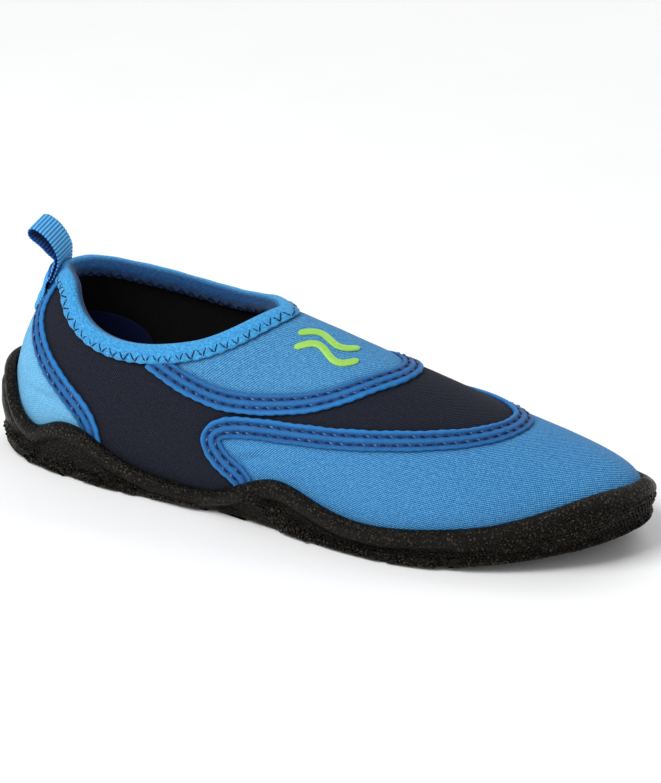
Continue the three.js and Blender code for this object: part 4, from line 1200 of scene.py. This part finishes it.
def wall_out(t, down, height, points):
    """How far the wall stands out, its studded lugs, and how proud each point is."""
    heel = 1 - smooth(0.05, 0.15, t)
    toe = smooth(0.8, 0.95, t)
    groove_at = 5.4 + 26 * np.clip(t - 0.03, 0, 1)
    out = 4.45 - 1.1 * toe + 0 * down
    out = out - 1.9 * hump(down, groove_at, 1.5) * (1 - smooth(0.12, 0.2, t))
    out = out + 0.7 * smooth(0, 2.5, down - groove_at - 1.2) * heel
    side_hollow = smooth(4.6, 8.5, down) * (1 - heel) * smooth(0.0, 3, height)
    out = out - 1.9 * side_hollow * (1 - 0.75 * smooth(0.72, 0.86, t))
    middle = hump(points[..., 0], BALL_X, 75)
    out = out - 2.2 * middle * smooth(5, 9, down)
    arch = hump(points[..., 0], 104, 11) * hump(height, 2.0, 5.5)
    out = out - 1.9 * arch
    # Toe: a parting line with the coarse band standing out under it.
    x = points[..., 0]
    line = 9 + 8.5 * smooth(196, 250, x)
    under = smooth(0, 1.0, line - height) * smooth(196, 212, x)
    out = out + 0.9 * under
    out = out - 0.9 * hump(height, line + 0.6, 1.1) * smooth(205, 225, x)
    studs = under * smooth(0.2, 1.2, height)
    proud = 0.35 * under
    for lug, radius, rise in LUGS:
        mask = lug_mask(points, lug, radius)
        out = out + rise * mask
        proud = np.maximum(proud, 0.5 * mask)
        studs = np.maximum(studs, mask)
    flare = 0.5 * (1 - smooth(0, 3.0, height))
    return out + flare * (1 - heel) * (1 - middle), studs, proud


def outsole():
    t_half = even_places(1.0)
    count = len(t_half)
    t = np.r_[t_half, t_half[-2:0:-1]]
    side = np.r_[np.full(count, -1), np.full(count - 2, 1)]
    p, n, s = spines(t, side)
    end = s[:, -1]
    fit = np.clip(end / 12, 0.62, 1)
    down = np.concatenate([LIP[None, :, 0] * fit[:, None],
                           LIP[-1, 0] * fit[:, None] + (end - LIP[-1, 0] * fit)[:, None]
                           * np.linspace(0, 1, WALL_ROWS + 1)[None, 1:]], 1)
    rows = down.shape[1]
    at, normal = np.empty((len(t), rows, 3)), np.empty((len(t), rows, 3))
    for k in range(3):
        for i in range(len(t)):
            at[i, :, k] = np.interp(down[i], s[i], p[i, :, k])
            normal[i, :, k] = np.interp(down[i], s[i], n[i, :, k])
    normal = unit(normal)
    height = at[..., 2] - ground(at[..., 0])
    out, studs, proud = wall_out(t[:, None], down, height, at)
    lip = np.broadcast_to(LIP[None, :, 1], (len(t), len(LIP)))
    blend = smooth(2.5, 4.7, LIP[:, 0])[None]
    out[:, : len(LIP)] = lip * (1 - blend) + np.minimum(out[:, : len(LIP)], lip + 0.4) * blend
    ripple = 0.1 * np.sin(t[:, None] * 61 + down * 0.7) + 0.06 * np.sin(t[:, None] * 143 + 2)
    out[:, len(LIP) :] += ripple[:, len(LIP) :]
    studs[:, : len(LIP) + 1] = 0
    wall = at + normal * out[..., None]
    # Under the wall: round the bottom edge and go in to the base plate.
    x, y = plan(t, side)
    nx, ny = plan_normal(t, side)
    g = ground(x)
    last = out[:, -1]
    arched = 0.7 * hump(x, ARCH_X, 46)
    under = np.stack([stack(x + nx * o, y + ny * o, g + z + arched * (z < 1.9)) for o, z in
                      ((last - 0.25, 0.62), (last - 0.8, 0.7), (last - 1.5, 1.3),
                       (-1, BASE_LIFT), (-8, BASE_LIFT))], 1)
    inner = np.stack([raised(t, np.zeros_like(t), side, np.full(len(t), 0.6)),
                      stack(x + nx * 0.4, y + ny * 0.4, feather_z(x) - 0.5),
                      stack(x - nx * 6, y - ny * 6, feather_z(x) - 0.5)], 1)
    ring = np.concatenate([inner[:, ::-1], wall, under], 1)
    total, k = ring.shape[:2]
    ids = np.arange(total * k).reshape(total, k)
    nxt = np.roll(ids, -1, 0)
    faces = np.stack([ids[:, :-1], nxt[:, :-1], nxt[:, 1:], ids[:, 1:]], -1).reshape(-1, 4)
    faces = [tuple(f) for f in faces.tolist()]
    for j, up in ((0, True), (k - 1, False)):
        for i in range(count - 1):
            quad = [ids[i, j], ids[i + 1, j], ids[(-i - 1) % total, j], ids[-i % total, j]]
            quad = [int(q) for m, q in enumerate(quad) if quad.index(q) == m]
            faces.append(tuple(quad if not up else reversed(quad)))
    points = ring.reshape(-1, 3)
    first = inner.shape[1]
    # crown sets the rubber's painted highlight: on the lugs and toe band, on the top of the rolled
    # bead, and on the studs.
    crown = np.zeros((total, k))
    crown[:, first : first + rows] = proud
    bead = hump(np.arange(len(LIP)), 8, 4.5)[None]
    crown[:, first : first + len(LIP)] = 0.75 * bead
    grain = np.full((total, k), 0.35)
    grain[:, first : first + len(LIP)] = 0.75
    grain[:, first : first + rows] += 0.4 * proud
    grain[:, first + len(LIP) : first + rows] += 0.3 * (1 - smooth(0.1, 0.24, t[:, None]))
    crown, grain = crown.ravel(), grain.ravel()
    # Studs: little domes in staggered rows on the lugs and the toe band.
    drop = np.zeros((total, rows))
    drop[:, 1:] = np.cumsum(np.linalg.norm(np.diff(wall, axis=1), axis=-1), 1)
    above = drop[:, -1:] - drop
    domes = []
    for row, level in enumerate(np.arange(0.6, above.max(), 0.87 * STUD_PITCH)):
        for place in np.arange(row % 2 * STUD_PITCH / 2, total - 1, STUD_PITCH):
            i, f = int(place), place % 1
            j = int(np.clip(np.searchsorted(-above[i], -level), 1, rows - 1))
            if level > above[i, 0] or studs[i, j] < 0.75:
                continue
            g = (above[i, j - 1] - level) / (above[i, j - 1] - above[i, j])
            spot = [(1 - f) * ((1 - g) * q[i, j - 1] + g * q[i, j])
                    + f * ((1 - g) * q[i + 1, j - 1] + g * q[i + 1, j]) for q in (wall, normal)]
            domes.append(dome(spot[0] + rng.uniform(-0.1, 0.1, 3), unit(spot[1]),
                              rng.uniform(0.5, 0.6), rng.uniform(0.5, 0.66)))
    stud_points, stud_faces = gather(domes)
    faces += [tuple(q + len(points) for q in f) for f in stud_faces]
    points = np.vstack([points, stud_points])
    # The studs get the strongest painted highlight.
    crown = np.r_[crown, np.full(len(stud_points), 1.3)]
    grain = np.r_[grain, np.full(len(stud_points), 0.1)]
    piece("outsole", points, faces, RUBBER, "outsole", "sole_rubber", sharp=0,
          crown=crown, grain=grain)


def dome(at, normal, radius, height):
    """A small closed round stud standing on a surface."""
    a = np.cross(normal, [0.3, 0.5, 0.8])
    a = a / np.linalg.norm(a)
    b = np.cross(normal, a)
    n = STUD_SIDES
    angle = np.arange(n) * 2 * np.pi / n
    rim = (np.cos(angle)[:, None] * a + np.sin(angle)[:, None] * b) * radius
    points = np.vstack([at + rim - normal * 0.3, at + rim * 0.85 + normal * height * 0.55,
                        at + rim * 0.45 + normal * height * 0.95, at + normal * height])
    faces = [(r + j, r + (j + 1) % n, r + n + (j + 1) % n, r + n + j)
             for r in (0, n) for j in range(n)]
    faces += [(2 * n + j, 2 * n + (j + 1) % n, 3 * n) for j in range(n)]
    faces.append(tuple(range(n - 1, -1, -1)))
    return points, faces


BAR_COUNT, BAR_START, BAR_PITCH, BAR_HALF = 17, -4, 15.5, 5.75
BAR_SLANT, GROOVE_HALF = 0.32, 1.2


def tread():
    """Slanted bars under the sole with rounded edges, meeting a groove along the middle."""
    t = np.linspace(0, 1, 1500)
    edge = []
    for side in (-1, 1):
        x, y = plan(t, side)
        nx, ny = plan_normal(t, side)
        reach = 4.4 - 3.4 * hump(x, BALL_X, 75) - 1.6 * hump(x, ARCH_X, 34)
        reach = reach - 0.9 * smooth(225, 250, x)
        edge.append(np.c_[x + nx * reach, y + ny * reach])
    edge = np.vstack(edge)
    parts = []
    for k in range(BAR_COUNT):
        for side in (-1, 1):
            x0 = BAR_START + BAR_PITCH * k
            a = side * -BAR_SLANT
            middle = np.array([x0 + BAR_HALF, float(centre_y(x0))])
            normal = np.array([np.cos(a), np.sin(a)])
            reach = side * np.array([-np.sin(a), np.cos(a)])
            c, e = (edge - middle) @ normal, (edge - middle) @ reach
            arc = edge[(np.abs(c) < BAR_HALF) & (e > 2)]
            if len(arc) < 8:
                continue
            arc = arc[np.argsort((arc - middle) @ normal)]
            arc = arc[np.linspace(0, len(arc) - 1, 16).astype(int)]
            end = middle + reach * GROOVE_HALF
            rear, front = end - normal * BAR_HALF, end + normal * BAR_HALF
            q = np.linspace(0, 1, 8)[1:-1, None]
            loop = np.vstack([rear, rear + (arc[0] - rear) * q, arc,
                              arc[-1] + (front - arc[-1]) * q, front, front + (rear - front) * q])
            parts.append(bar(loop))
    points, faces = gather(parts)
    # The bars get a faint painted highlight through crown.
    piece("tread_bars", points, faces, RUBBER, "outsole", "sole_rubber", sharp=50,
          crown=np.full(len(points), 0.3), grain=np.full(len(points), 0.7))


def bar(loop):
    """One tread bar from its outline: rounded below, running up into the sole."""
    edge = unit(np.roll(loop, -1, 0) - np.roll(loop, 1, 0))
    normal = np.c_[edge[:, 1], -edge[:, 0]]
    if ((loop - loop.mean(0)) * normal).sum() < 0:
        normal = -normal
    n = len(loop)
    rings = []
    for inset, z in ((1.3, 0.0), (0.5, 0.12), (0.12, 0.5), (0, 1.1), (0.1, 2.0), (0.4, 3.4)):
        q = loop - normal * inset
        rings.append(np.c_[q, ground(q[:, 0]) + z])
    points = np.vstack(rings)
    return points, outward(points, tube_faces(len(rings), n))


outsole()
tread()


# ---------------------------------------------------------------- pull loop and its sewn tail
def heel_place(z):
    """v of the upper's heel line at a height."""
    v = np.linspace(0.05, 0.8, 800)
    return np.interp(z, surface(0 * v, v, -1 + 0 * v)[:, 2], v)


def heel_point(v, out):
    v = np.atleast_1d(v)
    return raised(0 * v, v, -1 + 0 * v, np.broadcast_to(out, v.shape))


# The loop from the hinge out and back again, [x, z] from the hinge.
LOOP_PATH = np.array([
    [-0.5, 1.1], [-2.6, 2.9], [-6.0, 5.6], [-9.2, 7.6], [-11.2, 9.0], [-12.0, 10.6], [-11.3, 12.2],
    [-9.6, 12.7], [-7.9, 12.2], [-5.0, 10.6], [-1.6, 7.2], [0.4, 3.8], [1.0, 1.1]])
HINGE_Z, SEWN_Z, FREE_Z = 75.0, 71.6, 78.4      # sewn down below SEWN_Z, free above FREE_Z
TAIL_V, TAIL_TOP_V = 0.452, 0.625


def ribbon():
    hinge = heel_point(heel_place(HINGE_Z), 3.4)[0]
    half_thick = RIBBON_THICK / 2
    v = np.linspace(TAIL_V, TAIL_TOP_V, 14)
    lift = 1.15 + 0.7 * smooth(TAIL_V, 0.5, v) + 1.95 * smooth(0.5, 0.58, v)
    path = [p[[0, 2]] for p in heel_point(v, lift)]
    path += list(hinge[[0, 2]] + LOOP_PATH)
    v_end = np.linspace(0.618, 0.575, 4)
    path += [p[[0, 2]] for p in heel_point(v_end, 2.55)]
    path = np.array(path)
    s = lengths(path)
    q = np.arange(0, s[-1], RIB_PITCH / 8)
    line = np.stack([spline(np.c_[s, column], True)(q) for column in path.T], -1)
    along_line = unit(np.gradient(line, axis=0))
    out = np.c_[-along_line[:, 1], along_line[:, 0]]
    # The ribbon curves round the heel where it is sewn and straightens out above it.
    w = np.sin(np.linspace(-1, 1, 15) * np.pi / 2) * RIBBON_WIDTH / 2
    bend = np.empty((len(q), len(w), 3))
    top_v = heel_place(74.5)
    level = np.clip(heel_place(line[:, 1]), 0.3, top_v)
    base = Run(0 * level, level, -1)
    cross = np.broadcast_to([0, 1.0, 0], (len(q), 3))
    centre = np.stack([line[:, 0], 0 * q, line[:, 1]], -1)
    stand = ((centre - base.at) * slopes(base.t, base.v, base.side)[2]).sum(-1)
    for j, reach in enumerate(w):
        p = beside(base, cross, reach)
        pressed = 0.8 * (2 * reach / RIBBON_WIDTH) ** 2 * (1 - smooth(66, 71, line[:, 1]))
        bend[:, j] = (raised(p.t, p.v, p.side, stand - pressed)
                      - raised(base.t, base.v, base.side, stand))
    hold = (1 - smooth(SEWN_Z, FREE_Z, line[:, 1]))[:, None, None]
    flat = np.stack([-0.13 * w, 0.99 * w, 0 * w], -1)[None]
    rib = 0.5 + 0.5 * np.cos(2 * np.pi * q / RIB_PITCH)
    sheet = centre[:, None] + bend * hold + flat * (1 - hold)
    sheet[..., 1] *= (1 + 0.012 * np.cos(2 * np.pi * q / RIB_PITCH))[:, None]
    thin = np.where(np.abs(w) > RIBBON_WIDTH / 2 - 0.4, 0.55, 1.0)
    thick = (half_thick - 0.16 + 0.26 * rib)[:, None] * thin[None]
    up = np.stack([out[:, 0], 0 * q, out[:, 1]], -1)[:, None] * thick[..., None]
    rings = np.concatenate([sheet + up, (sheet - up)[:, ::-1]], 1)
    n, k = rings.shape[:2]
    flat = stack(q[:, None], np.r_[w, w[::-1]][None], 0.0).reshape(-1, 3)
    # crown follows the ribs for their painted highlight; seam marks the inner face for its painted
    # shade.
    obj = swept("pull_loop", rings, RIBBON, "ribbon", ("pull_loop", "loop_tail"), body=None,
                sharp=0, cloth=flat, crown=np.repeat(rib, k),
                seam=np.tile(np.arange(k) >= len(w), n))
    pivot = Vector(next(j for j in frame["joints"] if j["name"] == "loop_fold")["pos_m"])
    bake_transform(obj)
    bartack(sheet, up, line)


def bartack(sheet, up, line):
    """A dense satin of stitches across the ribbon just below the rim."""
    rows = np.flatnonzero(line[: len(line) // 2, 1] < 74.3)
    rows = rows[line[rows, 1] > 72.6]
    parts = []
    facing = unit(up)
    width = sheet.shape[1]
    legs, count = 22, 7
    for k in range(legs):
        swing = np.arange(count) / (count - 1)
        swing = swing if k % 2 else 1 - swing
        w = 1.2 + (width - 3.4) * (k + 0.5 * swing) / legs
        i = rows[0] + (rows[-1] - rows[0]) * swing
        i0, j0 = np.floor(i).astype(int), np.floor(w).astype(int)
        p = sheet[i0, j0] * (1 - (w - j0))[:, None] + sheet[i0, j0 + 1] * (w - j0)[:, None]
        n = facing[i0, j0]
        bow = 0.78 - 0.55 * np.abs(np.linspace(-1, 1, count)) ** 3
        parts.append(twisted_stitch(p + n * bow[:, None], n, 0.2, 0.15, 1.0, 5))
    points, faces = gather(parts)
    piece("loop_bartack", points, faces, TACK, "loop_bartack", "navy_thread", sharp=0)


ribbon()


# ---------------------------------------------------------------- floor, light and camera
def stage():
    floor = Nodes("floor", Roughness=0.8)
    grain = floor.noise(floor.place(), 0.02, 3.0)
    floor.finish(floor.mix(grain, (0.93, 0.93, 0.935), (0.96, 0.96, 0.96)))
    mesh = bpy.data.meshes.new("floor")
    r = 4.0
    mesh.from_pydata([(-r, -r, 0), (r, -r, 0), (r, r, 0), (-r, r, 0)], [], [(0, 1, 2, 3)])
    mesh.materials.append(floor.material)
    obj = bpy.data.objects.new("floor", mesh)
    obj.location.z = cad_box[0][2] - 0.0004
    bpy.context.scene.collection.objects.link(obj)
    world = bpy.data.worlds.new("studio")
    world.use_nodes = True
    world.node_tree.nodes["Background"].inputs["Color"].default_value = (0.98, 0.99, 1, 1)
    world.node_tree.nodes["Background"].inputs["Strength"].default_value = 0.4
    bpy.context.scene.world = world


def softbox(name, direction, distance_m, size, power):
    light = bpy.data.lights.new(name, "AREA")
    light.shape = "RECTANGLE"
    light.size, light.size_y = size
    light.energy = power
    obj = bpy.data.objects.new(name, light)
    direction = Vector(direction).normalized()
    obj.location = Vector((0, 0, 0.03)) + direction * distance_m
    obj.rotation_euler = direction.to_track_quat("Z", "Y").to_euler()
    bpy.context.scene.collection.objects.link(obj)


def camera():
    azimuth, elevation, roll = (math.radians(a) for a in (21, 23, 2.5))
    back = Vector((math.sin(azimuth) * math.cos(elevation),
                   -math.cos(azimuth) * math.cos(elevation), math.sin(elevation)))
    right = Vector((math.cos(azimuth), math.sin(azimuth), 0))
    up = back.cross(right)
    right, up = (right * math.cos(roll) + up * math.sin(roll),
                 up * math.cos(roll) - right * math.sin(roll))
    data = bpy.data.cameras.new("camera")
    data.sensor_width = 36
    data.lens = 167.4
    data.clip_start, data.clip_end = 0.01, 20
    obj = bpy.data.objects.new("camera", data)
    obj.location = (Vector((0.0024, 0.00106, 0.033)) + back * 1.4 + up * 0.0083 + right * 0.0018)
    obj.rotation_mode = "QUATERNION"
    m = obj.matrix_world.to_3x3()
    m.col[0], m.col[1], m.col[2] = right, up, back
    obj.rotation_quaternion = m.to_quaternion()
    bpy.context.scene.collection.objects.link(obj)
    bpy.context.scene.camera = obj


stage()
softbox("key", (-0.5, -0.75, 1.0), 1.6, (1.0, 1.0), 22)
softbox("fill", (0.9, -0.9, 0.6), 1.8, (1.2, 1.2), 4)
softbox("rim", (0.1, 1.0, 0.9), 1.7, (1.4, 0.8), 8)
camera()
bpy.context.scene.view_settings.view_transform = "Standard"

bpy.context.view_layer.update()
